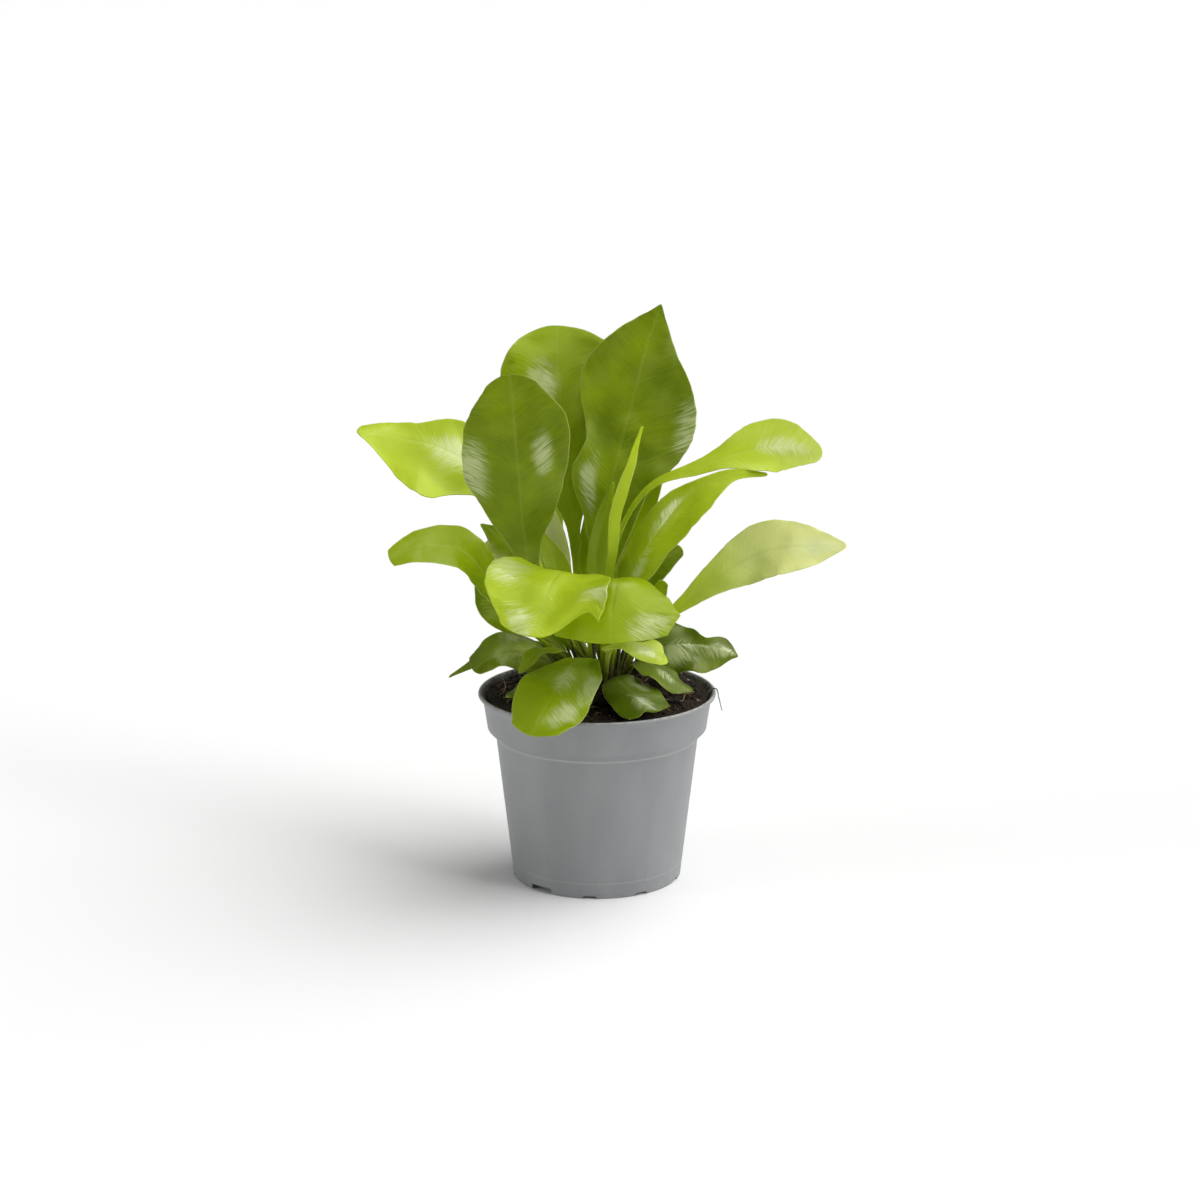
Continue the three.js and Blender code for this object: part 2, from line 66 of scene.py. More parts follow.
# ---- node trees ----
class Value:
    """A socket in a node tree. Arithmetic on it adds Math nodes, or Vector Math nodes for vectors."""

    def __init__(self, graph, socket):
        self.graph = graph
        self.socket = socket

    def math(self, operation, *values):
        if any(is_vector(x) for x in values):
            return self.graph.vector(operation, *values)
        return self.graph.math(operation, *values)

    def __add__(self, other):
        return self.math("ADD", self, other)

    def __radd__(self, other):
        return self.math("ADD", other, self)

    def __sub__(self, other):
        return self.math("SUBTRACT", self, other)

    def __rsub__(self, other):
        return self.math("SUBTRACT", other, self)

    def __mul__(self, other):
        if is_vector(self) and not is_vector(other):
            return self.graph.vector("SCALE", self, scale=other)
        if is_vector(other) and not is_vector(self):
            return self.graph.vector("SCALE", other, scale=self)
        return self.math("MULTIPLY", self, other)

    __rmul__ = __mul__

    def __truediv__(self, other):
        if is_vector(self) and not is_vector(other):
            return self * (1 / other)
        return self.math("DIVIDE", self, other)

    def __rtruediv__(self, other):
        return self.math("DIVIDE", other, self)

    def __pow__(self, other):
        return self.math("POWER", self, other)

    def __neg__(self):
        return self * -1

    def __abs__(self):
        return self.math("ABSOLUTE", self)

    def __gt__(self, other):
        return self.math("GREATER_THAN", self, other)

    def __lt__(self, other):
        return self.math("LESS_THAN", self, other)

    def clamp(self, low=0.0, high=1.0):
        return self.math("MINIMUM", self.math("MAXIMUM", self, low), high)

    def smooth(self, low, high):
        """0 below low, 1 above high and a soft step between them."""
        share = ((self - low) / (high - low)).clamp()
        return share * share * (3 - 2 * share)


def is_vector(x):
    if isinstance(x, Value):
        return x.socket.type in {"VECTOR", "RGBA"}
    return isinstance(x, (tuple, Vector, Color))


class Graph:
    """Adds nodes to one tree."""

    def __init__(self, tree):
        self.tree = tree

    def node(self, kind, sockets=None, settings=None):
        """A new node. Its settings come first, then the values or links of its sockets, by name or number."""
        made = self.tree.nodes.new(kind)
        for name, value in (settings or {}).items():
            setattr(made, name, value)
        for name, value in (sockets or {}).items():
            self.feed(pick(made.inputs, name), value)
        return Outputs(self, made)

    def feed(self, socket, value):
        if isinstance(value, Value):
            self.tree.links.new(value.socket, socket)
        elif socket.type == "RGBA" and len(value) == 3:
            socket.default_value = (*value, 1)
        else:
            socket.default_value = value

    def math(self, operation, *values):
        node = self.node("ShaderNodeMath", dict(enumerate(values)), {"operation": operation})
        return node[0]

    def vector(self, operation, *values, scale=None):
        sockets = dict(enumerate(values))
        if scale is not None:
            sockets["Scale"] = scale
        node = self.node("ShaderNodeVectorMath", sockets, {"operation": operation})
        return node["Value" if operation in {"DOT_PRODUCT", "LENGTH"} else "Vector"]

    def sin(self, angle):
        return self.math("SINE", angle)

    def cos(self, angle):
        return self.math("COSINE", angle)

    def split(self, vector):
        node = self.node("ShaderNodeSeparateXYZ", {"Vector": vector})
        return node["X"], node["Y"], node["Z"]

    def join(self, x, y, z):
        return self.node("ShaderNodeCombineXYZ", {"X": x, "Y": y, "Z": z})["Vector"]

    def mix(self, share, a, b):
        """a where share is 0 and b where it is 1; colours and numbers alike."""
        kind = "RGBA" if is_vector(a) or is_vector(b) else "FLOAT"
        return self.node("ShaderNodeMix", {"Factor": share, "A": a, "B": b}, {"data_type": kind})["Result"]

    def noise(self, place, scale, detail=2.0, roughness=0.5):
        sockets = {"Vector": place, "Scale": scale, "Detail": detail, "Roughness": roughness}
        return self.node("ShaderNodeTexNoise", sockets)["Fac"]


class Outputs:
    """The outputs of a node, by name or number."""

    def __init__(self, graph, made):
        self.graph = graph
        self.made = made

    def __getitem__(self, name):
        return Value(self.graph, pick(self.made.outputs, name))


def pick(sockets, name):
    """The socket in use that has this name, or this number."""
    if isinstance(name, int):
        return sockets[name]
    return next(s for s in sockets if s.enabled and name in (s.name, s.identifier))


SOCKET_KINDS = {int: "NodeSocketInt", float: "NodeSocketFloat", tuple: "NodeSocketVector"}
FULL_TURN = 6.28  # in radians, for random turns


class ShapeTree(Graph):
    """A Geometry Nodes tree with a geometry and a material in, named sizes, and one geometry out."""

    def __init__(self, name, **sizes):
        super().__init__(bpy.data.node_groups.new(name, "GeometryNodeTree"))
        face = self.tree.interface
        face.new_socket("Geometry", in_out="OUTPUT", socket_type="NodeSocketGeometry")
        face.new_socket("Geometry", in_out="INPUT", socket_type="NodeSocketGeometry")
        face.new_socket("Material", in_out="INPUT", socket_type="NodeSocketMaterial")
        for label, value in sizes.items():
            socket = face.new_socket(label, in_out="INPUT", socket_type=SOCKET_KINDS[type(value)])
            socket.default_value = value
        self.sizes = self.node("NodeGroupInput")

    def named(self, name, kind="FLOAT"):
        return self.node("GeometryNodeInputNamedAttribute", {"Name": name}, {"data_type": kind})["Attribute"]

    def store(self, geometry, name, value, kind="FLOAT", domain="POINT"):
        sockets = {"Geometry": geometry, "Name": name, "Value": value}
        settings = {"data_type": kind, "domain": domain}
        return self.node("GeometryNodeStoreNamedAttribute", sockets, settings)["Geometry"]

    def move(self, geometry, **places):
        return self.node("GeometryNodeSetPosition", {"Geometry": geometry, **places})["Geometry"]

    def position(self):
        return self.node("GeometryNodeInputPosition")["Position"]

    def random(self, low, high, seed):
        sockets = {"Min": low, "Max": high, "Seed": seed}
        kind = "FLOAT_VECTOR" if is_vector(low) else "FLOAT"
        return self.node("FunctionNodeRandomValue", sockets, {"data_type": kind})["Value"]

    def any_turn(self, lean, seed):
        """A random turn round Z, with a lean of up to the given angle either way about X and Y."""
        return self.random((-lean, -lean, 0.0), (lean, lean, FULL_TURN), seed)

    def looks_up(self):
        """How far each face looks up: 1 straight up and -1 straight down."""
        return self.split(self.node("GeometryNodeInputNormal")["Normal"])[2]

    def scatter(self, share):
        """Random points on the given mesh, as many to the square metre as Density times the share."""
        sockets = {
            "Mesh": self.sizes["Geometry"],
            "Density": self.sizes["Density"] * share,
            "Seed": self.sizes["Seed"],
        }
        return self.node("GeometryNodeDistributePointsOnFaces", sockets)

    def joined(self, shapes):
        """The shapes as one geometry."""
        join = self.node("GeometryNodeJoinGeometry")
        for shape in shapes:
            self.tree.links.new(shape.socket, join.made.inputs["Geometry"])
        return join["Geometry"]

    def variants(self, shapes):
        """The shapes as instances, to pick from."""
        kind = "GeometryNodeGeometryToInstance"
        return self.joined([self.node(kind, {"Geometry": shape})["Instances"] for shape in shapes])

    def put(self, shape, points, turn, size, pick=False):
        """The shape on every point, turned and scaled, or one of its variants where pick is set."""
        sockets = {
            "Points": points, "Instance": shape, "Pick Instance": pick, "Rotation": turn, "Scale": size,
        }
        return self.node("GeometryNodeInstanceOnPoints", sockets)["Instances"]

    def finish(self, geometry):
        """Makes the geometry real and smooth, gives it the material and puts it out."""
        made = self.node("GeometryNodeRealizeInstances", {"Geometry": geometry})["Geometry"]
        made = self.node("GeometryNodeSetShadeSmooth", {"Geometry": made, "Shade Smooth": True})["Geometry"]
        sockets = {"Geometry": made, "Material": self.sizes["Material"]}
        made = self.node("GeometryNodeSetMaterial", sockets)["Geometry"]
        self.node("NodeGroupOutput", {"Geometry": made})
        return self.tree


# ---- pieces ----
def add_object(name, data):
    """A new object at the origin, in the scene."""
    made = bpy.data.objects.new(name, data)
    bpy.context.collection.objects.link(made)
    return made


def mesh_of(name, bm):
    """A mesh from a bmesh, which is used up."""
    mesh = bpy.data.meshes.new(name)
    bm.to_mesh(mesh)
    bm.free()
    return mesh


def new_piece(name, bm, material, smooth=True):
    """An object from a bmesh, with its material."""
    mesh = mesh_of(name, bm)
    if smooth:
        mesh.shade_smooth()
    mesh.materials.append(material)
    return add_object(name, mesh)


def apply_modifiers(piece):
    """Gives the piece the mesh that its modifiers make, and removes them."""
    graph = bpy.context.evaluated_depsgraph_get()
    made = bpy.data.meshes.new_from_object(
        piece.evaluated_get(graph), preserve_all_data_layers=True, depsgraph=graph
    )
    piece.modifiers.clear()
    piece.data = made


def grow(name, mesh, tree, material, **sizes):
    """An object whose mesh is what the tree makes of the given mesh."""
    piece = add_object(name, mesh)
    modifier = piece.modifiers.new(tree.name, "NODES")
    modifier.node_group = tree
    labels = {s.name: s.identifier for s in tree.interface.items_tree if s.in_out == "INPUT"}
    for label, value in {"Material": material, **sizes}.items():
        modifier[labels[label]] = value
    apply_modifiers(piece)
    piece.data.name = name
    return piece


def angles(count):
    """Equal steps all round, from 0."""
    return [2 * math.pi * k / count for k in range(count)]


def bridge(bm, rings):
    """Faces between each ring of vertices and the next; a ring of one vertex, repeated, is a pole."""
    for below, above in zip(rings, rings[1:]):
        for k in range(len(below)):
            n = (k + 1) % len(below)
            bm.faces.new(list(dict.fromkeys((below[k], below[n], above[n], above[k]))))


def dress(piece, slot, *nodes):
    """The piece rides on the plant's one body and stands for its CAD nodes, which it hides.
    The slot is not used.
    """
    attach(piece, "root")
    if nodes:
        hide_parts(*nodes)


# ---- settings ----
def length(name, description, default):
    return FloatProperty(name=name, description=description, default=default, unit="LENGTH", precision=4)


def colour(name, description, default):
    return FloatVectorProperty(
        name=name, description=description, default=default, subtype="COLOR", size=3, min=0, max=1
    )


class FernPotSettings(bpy.types.PropertyGroup):
    """The nursery pot and the soil in it."""

    rim: length("Rim radius", "Outside of the lip", POT_HIGH[0])
    height: length("Height", "Height of the lip above the ground", POT_HIGH[2])
    foot: length("Foot radius", "Outside of the foot ring", 0.0426)
    wall: length("Wall", "Thickness of the plastic", 0.0012)
    lip: length("Lip width", "Flat top of the lip", 0.0016)
    plastic: colour("Plastic", "Colour of the pot", (0.232, 0.24, 0.245))
    earth: colour("Earth", "Colour of the wet soil", (0.011, 0.007, 0.004))
    bark: colour("Bark", "Colour of the dry crumbs and chips", (0.03, 0.018, 0.009))
    perlite: colour("Perlite", "Colour of the white grains", (0.5, 0.47, 0.4))
    seed: IntProperty(name="Seed", description="Seed of the scattered grains", default=7, min=0)


class FernFrondSettings(bpy.types.PropertyGroup):
    """The fronds and the crown that they grow from."""

    stalk: length("Stalk", "Half width of a stalk at its root", 0.0011)
    margin: length("Margin", "Thickness of a blade near its margin", 0.00045)
    rib: length("Rib", "Extra thickness of a blade at its midrib", 0.0006)
    groove: length("Groove", "Depth of the groove over the midrib", 0.00035)
    swell: length("Swell", "Height of the soft swells of a wide blade", 0.0034)
    vein: length("Veins", "Distance between the side veins", 0.0021)
    old: colour("Old frond", "Colour of a dark old frond", (0.088, 0.142, 0.003))
    grown: colour("Grown frond", "Colour of a grown frond", (0.3, 0.425, 0.001))
    young: colour("Young frond", "Colour of a bright young frond", (0.52, 0.67, 0.02))
    # the palest colour is partly painted light: besides young tissue it stands in for the sheen and light on
    # the pale fronds
    pale: colour("Pale frond", "Colour of the palest frond", (0.92, 0.95, 0.38))
    # the colour of the painted sheen spots on the blades
    painted_sheen: colour("Sheen_paint", "Colour of the waxy bloom on a blade", (0.85, 0.92, 0.52))
    scale: colour("Crown scales", "Colour of the rhizome's scales", (0.11, 0.055, 0.02))
    rows: IntProperty(name="Rows", description="Rows of points along a large frond", default=130, min=20)
    columns: IntProperty(name="Columns", description="Points across a large frond", default=37, min=9)


class FernStageSettings(bpy.types.PropertyGroup):
    """The camera, the lights and the floor."""

    distance: length("Distance", "Camera's distance in front of the pot", 1.295)
    camera_height: length("Camera height", "Camera's height above the floor", 0.4608)
    pitch: FloatProperty(
        name="Pitch", description="How far the camera looks down", default=math.radians(13.8), subtype="ANGLE"
    )
    lens: FloatProperty(name="Lens", description="Focal length in millimetres", default=80.0)
    ceiling: FloatProperty(name="Ceiling", description="Strength of the light from above", default=0.28)
    walls: FloatProperty(name="Walls", description="Strength of the light from the sides", default=0.09)
    light: FloatProperty(name="Lights", description="Strength of the soft key light", default=2.96)
    floor: colour("Floor", "Colour of the floor", (0.9, 0.9, 0.9))


# ---- materials ----
VEIN_GREEN = (0.5, 0.6, 0.07)
RIB_GREEN = (0.5, 0.58, 0.12)
# painted light, as if shining through the thin margin
MARGIN_GLOW_GREEN = (0.6, 0.68, 0.2)
UNDERSIDE_GREEN = (0.4, 0.5, 0.08)
ROOT_BROWN = (0.055, 0.05, 0.014)
SPOT_BROWN = (0.16, 0.08, 0.025)
THROUGH_COLOUR = (0.475, 0.6, 0.004)  # of the light that a blade lets through
THROUGH_SHARE = 0.2

SMEARED_GREY = (0.34, 0.345, 0.35)
SCUFFED_GREY = (0.42, 0.42, 0.41)
# of the painted highlight line at the shoulder, and of the mould line
MOULD_LINE_AND_HIGHLIGHT_GREY = (0.46, 0.465, 0.47)
LIP_GREY = (0.5, 0.49, 0.46)
# of the soil stains and painted shade inside the pot
STAIN_AND_SHADE_BROWN = (0.035, 0.028, 0.02)
SHOULDER_HEIGHT = 0.0735  # where the wall turns out to the collar
MOULD_LINE_HEIGHT = 0.008  # a faint line round the foot
LIP_DEPTH = 0.003
WALL_MIDDLE = 0.0014  # from the outside of the lip in to the middle of the wall
LIP_SLOPE = 0.45  # how fast that middle goes on inwards under the lip, until it is twice as far in
COLLAR_TAPER = 0.16  # how fast it goes on inwards below LIP_DEPTH
STAIN_AND_SHADE_DEPTH = 0.006  # how far down the inside is darkened by soil stains and painted shade


def new_material(name):
    material = bpy.data.materials.new(name)
    material.use_nodes = True
    material.node_tree.nodes.clear()
    return material, Graph(material.node_tree)


def surface(g, sockets, **settings):
    return g.node("ShaderNodeBsdfPrincipled", sockets, settings)["BSDF"]


def show(g, shader):
    g.node("ShaderNodeOutputMaterial", {"Surface": shader})


def object_place(g):
    return g.node("ShaderNodeTexCoord")["Object"]


def bump(g, height, distance, strength=1.0):
    return g.node("ShaderNodeBump", {"Height": height, "Distance": distance, "Strength": strength})["Normal"]


def attribute(g, name, output="Fac"):
    return g.node("ShaderNodeAttribute", settings={"attribute_name": name})[output]


def leaf_material(settings):
    """The fronds' skin: green by tone, side veins, a paler rib, a brown root, light through it, and a margin
    that is paler by painted light.

    It reads what the frond tree stored: leaf holds the distance along the midrib, the distance across
    and the half width, in millimetres, side is 1 on the upper face, tone runs from old to young, and
    sheen is where pale spots of painted sheen go on the skin, with a glossier coat."""
    material, g = new_material("fern_leaf")
    place = object_place(g)
    along, across, half = g.split(attribute(g, "leaf", "Vector"))
    side = attribute(g, "side")
    tone = attribute(g, "tone")
    sheen = attribute(g, "sheen")
    out = abs(across)
    rim = half - out
    patches = g.noise(place, 38.0, 3.0)
    fine = g.noise(place, 260.0, 2.0)

    # side veins leave the midrib forwards and run on to the margin
    run = along - out * 0.75 + (g.noise(place, 55.0, 1.0) - 0.5) * 3.0
    veins = (g.sin(run * (2 * math.pi * MM / settings.vein)) * 0.5 + 0.5) ** 2.0
    streaks = g.noise(g.join(run * 1.1, across * 0.11, along * 0.02), 1.0, 3.0, 0.65)
    on_blade = half.smooth(2.5, 6.0)
    rib = 1 - out.smooth(0.2, 1.1)
    # the margin's paler colour is painted light, as if shining through the thin edge
    margin = (1 - rim.smooth(0.1, 0.6)) * on_blade

    shade = tone + (patches - 0.5) * 0.5 + (streaks - 0.5) * 0.25
    green = g.mix(shade.smooth(0.0, 0.5), settings.old, settings.grown)
    green = g.mix(shade.smooth(0.5, 1.0), green, settings.young)
    green = g.mix(shade.smooth(1.0, 1.7), green, settings.pale)
    green = g.mix(veins * streaks * on_blade * 0.07, green, VEIN_GREEN)
    green = g.mix(rib * on_blade * 0.14, green, RIB_GREEN)
    green = g.mix(margin * 0.45, green, MARGIN_GLOW_GREEN)
    green = g.mix((1 - side) * on_blade * 0.15, green, UNDERSIDE_GREEN)
    # painted sheen: pale streaky spots where the frond tree put sheen; the coat is glossier there too
    painted_sheen = (sheen * (0.4 + patches * 0.6 + (streaks - 0.5) * 2.2)).smooth(0.16, 0.72)
    green = g.mix(painted_sheen * 0.5, green, settings.painted_sheen)
    root = 1 - (along + (fine - 0.5) * 8).smooth(6.0, 34.0)
    skin = g.mix(root * 0.8, green, ROOT_BROWN)
    spots = g.noise(place, 130.0, 2.0).smooth(0.69, 0.75) * (1 - tone * 4).clamp() * on_blade
    skin = g.mix(spots * 0.85, skin, SPOT_BROWN)

    relief = veins * on_blade * 0.05 + streaks * 1.2 + fine * 0.3
    normal = bump(g, relief * (0.4 + side * 0.6), 0.00026, 0.7)
    glossy = surface(g, {
        "Base Color": skin,
        "Roughness": 0.22 + patches * 0.16 + (1 - side) * 0.12,
        "Normal": normal,
        "IOR": 1.4,
        "Specular Tint": (1.0, 1.0, 0.4),
        "Coat Weight": ((patches.smooth(0.45, 0.7) * 0.2 + painted_sheen) * side * on_blade).clamp(),
        "Coat Roughness": 0.17,
        "Coat IOR": 1.5,
    })
    through = g.node("ShaderNodeBsdfTranslucent", {"Color": THROUGH_COLOUR, "Normal": normal})["BSDF"]
    show(g, g.node("ShaderNodeMixShader", {0: THROUGH_SHARE, 1: glossy, 2: through})["Shader"])
    return material


def plastic_material(settings):
    """Matt grey moulded plastic: a fine grain, dull smears, scuffs, paler patches on the lip, a painted
    highlight line at the shoulder, and an inside darkened by soil stains and painted shade.
    """
    material, g = new_material("pot_plastic")
    place = object_place(g)
    x, y, height = g.split(place)
    radius = g.vector("LENGTH", g.join(x, y, 0.0))
    below = settings.height - height
    smears = g.noise(g.vector("MULTIPLY", place, (1.0, 1.0, 0.35)), 45.0, 4.0, 0.6)
    grain = g.noise(place, 1500.0, 2.0)
    chips = g.noise(place, 420.0, 3.0, 0.7)

    foot = 1 - height.smooth(0.0, 0.012)
    scuffs = chips.smooth(0.56, 0.68) * (foot * 0.7 + 0.12)
    tint = g.mix(smears.smooth(0.35, 0.75) * 0.35, settings.plastic, SMEARED_GREY)
    tint = g.mix(scuffs * 0.5, tint, SCUFFED_GREY)
    # a painted highlight: a thin pale line along the shoulder's edge
    corner = 1 - abs(height - SHOULDER_HEIGHT).smooth(0.0001, 0.0009)
    ring = 1 - abs(height - MOULD_LINE_HEIGHT).smooth(0.0001, 0.0008)
    tint = g.mix(corner * 0.45 + ring * 0.16, tint, MOULD_LINE_AND_HIGHLIGHT_GREY)
    lip = 1 - below.smooth(0.0002, 0.0007)
    tint = g.mix(lip * chips.smooth(0.38, 0.6) * 0.55, tint, LIP_GREY)

    # the middle of the wall tells the inside from the outside
    middle = settings.rim - WALL_MIDDLE - (below * LIP_SLOPE).clamp(0.0, WALL_MIDDLE)
    middle = middle - (below - LIP_DEPTH).clamp() * COLLAR_TAPER
    inside = 1 - (radius - middle).smooth(-0.0002, 0.0002)
    # the inside under the lip is darkened, more so further down: soil stains and painted shade
    stain_and_shade_share = (0.45 + (chips + smears - 1) * 2.0 + below.smooth(0.0, 0.0025)).clamp()
    stain_and_painted_shade = inside * (below < STAIN_AND_SHADE_DEPTH) * stain_and_shade_share
    tint = g.mix(stain_and_painted_shade, tint, STAIN_AND_SHADE_BROWN)
    normal = bump(g, grain * 0.7 + smears * 2.0 + stain_and_painted_shade * chips * 4.0, 0.00005, 0.5)
    rough = 0.42 + smears * 0.16 + scuffs * 0.2 + stain_and_painted_shade * 0.3
    show(g, surface(g, {"Base Color": tint, "Roughness": rough, "Normal": normal}))
    return material


def toned(paint, share):
    """The colour, darker where the share is below 1 and lighter where it is above."""
    return tuple(c * share for c in paint)


def earthy_material(name, dark, light, grain, rough=0.9):
    """Crumbly matter between a dark and a light colour, with grains of the given scale."""
    material, g = new_material(name)
    place = object_place(g)
    big = g.noise(place, grain, 4.0, 0.65)
    small = g.noise(place, grain * 6, 3.0, 0.6)
    shade = (big * 0.6 + small * 0.5 - 0.05).smooth(0.38, 0.68)
    show(g, surface(g, {
        "Base Color": g.mix(shade, dark, light),
        "Roughness": rough - shade * 0.12,
        "Normal": bump(g, small + big * 0.5, 0.0006, 0.8),
        "Specular IOR Level": 0.2,
    }))
    return material


def floor_material(settings):
    """The pale studio floor."""
    material, g = new_material("stage_floor")
    show(g, surface(g, {"Base Color": settings.floor, "Roughness": 0.9, "Specular IOR Level": 0.1}))
    return material


# ---- pot ----
CORNER_STEPS = 6  # straight pieces in each rounded corner of the outline
POT_SEGMENTS = 216
STEP_HEIGHT = 0.0777  # where the collar starts
INNER_SHOULDER = 0.0743
INNER_STEP = 0.0785
POT_FLOOR = 0.004
UNDER_FLOOR = 0.0026
NOTCHES = 10
WIDE_EVERY = 5  # the first of every five notches is wide
FIRST_NOTCH = math.radians(-131)
WIDE_NOTCH = (0.013, 0.003)  # width and height
NARROW_NOTCH = (0.007, 0.0014)
NOTCH_LENGTH = 0.01
NOTCH_ROUNDING = 0.0005
DRAINS = 4
DRAIN_RADIUS = 0.0042
DRAIN_LENGTH = 0.012
DRAIN_CIRCLE = 0.030
SHARP_ANGLE = math.radians(40)


def rounded(corners):
    """An outline through (radius, height, rounding) corners, each corner as an arc of that radius."""
    points = []
    last = len(corners) - 1
    for i, (x, z, round_off) in enumerate(corners):
        here = Vector((x, z))
        if i in (0, last) or not round_off:
            points.append(here)
            continue
        back = (Vector(corners[i - 1][:2]) - here).normalized()
        ahead = (Vector(corners[i + 1][:2]) - here).normalized()
        half = back.angle(ahead) / 2
        reach = round_off / math.tan(half)
        middle = here + (back + ahead).normalized() * (round_off / math.sin(half))
        start = here + back * reach - middle
        sweep = start.angle_signed(here + ahead * reach - middle)
        for k in range(CORNER_STEPS + 1):
            turn = Matrix.Rotation(-sweep * k / CORNER_STEPS, 2)
            points.append(middle + turn @ start)
    return points


def turned(points, segments):
    """A closed body: the outline, which starts and ends on the axis, turned once round Z."""
    bm = bmesh.new()
    rings = []
    for x, z in points:
        if x < 1e-6:
            rings.append([bm.verts.new((0, 0, z))] * segments)
            continue
        rings.append([bm.verts.new((x * math.cos(a), x * math.sin(a), z)) for a in angles(segments)])
    bridge(bm, rings)
    return bm


def cut(piece, cutters):
    """Takes the cutters out of the piece and removes them."""
    for cutter in cutters:
        modifier = piece.modifiers.new("cut", "BOOLEAN")
        modifier.operation = "DIFFERENCE"
        modifier.solver = "EXACT"
        modifier.object = cutter
    apply_modifiers(piece)
    for cutter in cutters:
        bpy.data.objects.remove(cutter)


def pot_outline(pot):
    """(radius, height, rounding) from the middle of the floor's underside, round the wall and back."""
    rim, top, foot, wall, lip = pot.rim, pot.height, pot.foot, pot.wall, pot.lip
    collar = rim - 0.0027
    step = rim - 0.0047
    shoulder = rim - 0.0089
    return [
        (0, 0, 0),
        (0.007, 0, 0.0003),
        (0.0076, UNDER_FLOOR, 0.0004),
        (foot - 0.002, UNDER_FLOOR, 0.0004),
        (foot - 0.0014, 0, 0.0003),
        (foot, 0, 0.0004),
        (shoulder, SHOULDER_HEIGHT, 0.0006),
        (step, STEP_HEIGHT, 0.0007),
        (collar, top - 0.0046, 0.002),
        (rim - 0.0012, top - 0.0024, 0.001),
        (rim, top - 0.0014, 0.0007),
        (rim - 0.0004, top, 0.0007),
        (rim - lip, top, 0.0006),
        (collar - wall, top - 0.003, 0.0012),
        (step - wall, INNER_STEP, 0.0006),
        (shoulder - wall, INNER_SHOULDER, 0.0007),
        (foot - wall + 0.0006, POT_FLOOR + 0.002, 0.001),
        (foot - wall - 0.0012, POT_FLOOR, 0.001),
        (0, POT_FLOOR, 0),
    ]


def new_cutter(bm, place, turn):
    """A cutter from a bmesh, moved to its place and then turned round the pot's axis."""
    bmesh.ops.translate(bm, vec=place, verts=bm.verts)
    bmesh.ops.rotate(bm, cent=(0, 0, 0), matrix=Matrix.Rotation(turn, 3, "Z"), verts=bm.verts)
    return add_object("cutter", mesh_of("cutter", bm))


def notch_cutter(width, height, radius, turn):
    """A block across the foot ring, with its long edges rounded."""
    bm = bmesh.new()
    bmesh.ops.create_cube(bm, size=1)
    bmesh.ops.scale(bm, vec=(NOTCH_LENGTH, width, 2 * height), verts=bm.verts)
    edges = [e for e in bm.edges if abs(e.verts[0].co.x - e.verts[1].co.x) > NOTCH_LENGTH / 2]
    bmesh.ops.bevel(bm, geom=edges, offset=NOTCH_ROUNDING, segments=3, affect="EDGES")
    return new_cutter(bm, (radius, 0, 0), turn)


def drain_cutter(turn):
    """A round bar through the floor."""
    bm = bmesh.new()
    bmesh.ops.create_cone(
        bm, segments=32, radius1=DRAIN_RADIUS, radius2=DRAIN_RADIUS, depth=DRAIN_LENGTH, cap_ends=True
    )
    return new_cutter(bm, (DRAIN_CIRCLE, 0, UNDER_FLOOR), turn)


class FERN_OT_pot(bpy.types.Operator):
    """Build the nursery pot with its flat lip, drainage notches and drain holes"""

    bl_idname = "fern.pot"
    bl_label = "Pot"

    def execute(self, context):
        pot = context.scene.fern_pot
        bm = turned(rounded(pot_outline(pot)), POT_SEGMENTS)
        bmesh.ops.recalc_face_normals(bm, faces=bm.faces)
        piece = new_piece("fern_pot", bm, plastic_material(pot))
        cutters = []
        for k, turn in enumerate(angles(NOTCHES)):
            width, height = NARROW_NOTCH if k % WIDE_EVERY else WIDE_NOTCH
            cutters.append(notch_cutter(width, height, pot.foot, FIRST_NOTCH + turn))
        cutters += [drain_cutter(turn) for turn in angles(DRAINS)]
        cut(piece, cutters)
        piece.data.shade_smooth()
        piece.data.set_sharp_from_angle(angle=SHARP_ANGLE)
        dress(piece, "pot_plastic", "pot")
        return {"FINISHED"}


# ---- soil ----
SOIL_EDGE = 0.0936  # height of the bed at the collar
SOIL_MOUND = 0.0036
CLODS = 0.7 * MM  # height of the bed's soft clods
COLLAR = 0.0573  # the collar's outside radius
SOIL_RADIUS = 0.0559
SOIL_WALL = ((0.0379, 0.0043), (0.0415, 0.006), (0.0494, INNER_SHOULDER), (0.0536, INNER_STEP))
SOIL_RINGS = 64
SOIL_SEGMENTS = 160
BED_SLOPE = 0.2  # grains and fibres lie on faces that look up at least so far, of 1
GRAIN_SHAPES = 4
FIBRE_BENDS = (  # start, its handle, the end's handle and end of a fibre that is about 1 long
    ((-0.5, 0.0, -0.1), (-0.2, 0.35, 0.12), (0.2, -0.25, 0.1), (0.5, 0.1, -0.08)),
    ((-0.5, 0.0, -0.15), (-0.1, 0.1, 0.4), (0.1, 0.3, 0.1), (0.4, 0.4, -0.1)),
    ((-0.5, 0.0, 0.0), (-0.2, -0.2, 0.05), (0.2, 0.4, 0.2), (0.45, -0.1, 0.3)),
)
BEND_SOCKETS = ("Start", "Start Handle", "End Handle", "End")
FIBRE_SCALE = 100.0  # from a fibre about a centimetre long to one that is 1 long


def soil_height(x, y):
    """The bed's height: a low mound with soft clods."""
    r = math.hypot(x, y) / COLLAR
    mm_x, mm_y = x / MM, y / MM
    clods = math.sin(0.31 * mm_x + 1) * math.sin(0.27 * mm_y + 0.4)
    clods += 0.6 * math.sin(0.53 * mm_x - 0.47 * mm_y)
    return SOIL_EDGE + SOIL_MOUND * (1 - r * r) + CLODS * clods


def rough_soil_height(x, y):
    """The bed's height with lumps of several sizes."""
    place = Vector((x, y, 0.0))
    lumps = 1.3 * abs(noise.noise(place * 160)) + 0.8 * noise.noise(place * 420)
    lumps += 0.4 * noise.noise(place * 1100)
    return soil_height(x, y) + lumps * MM


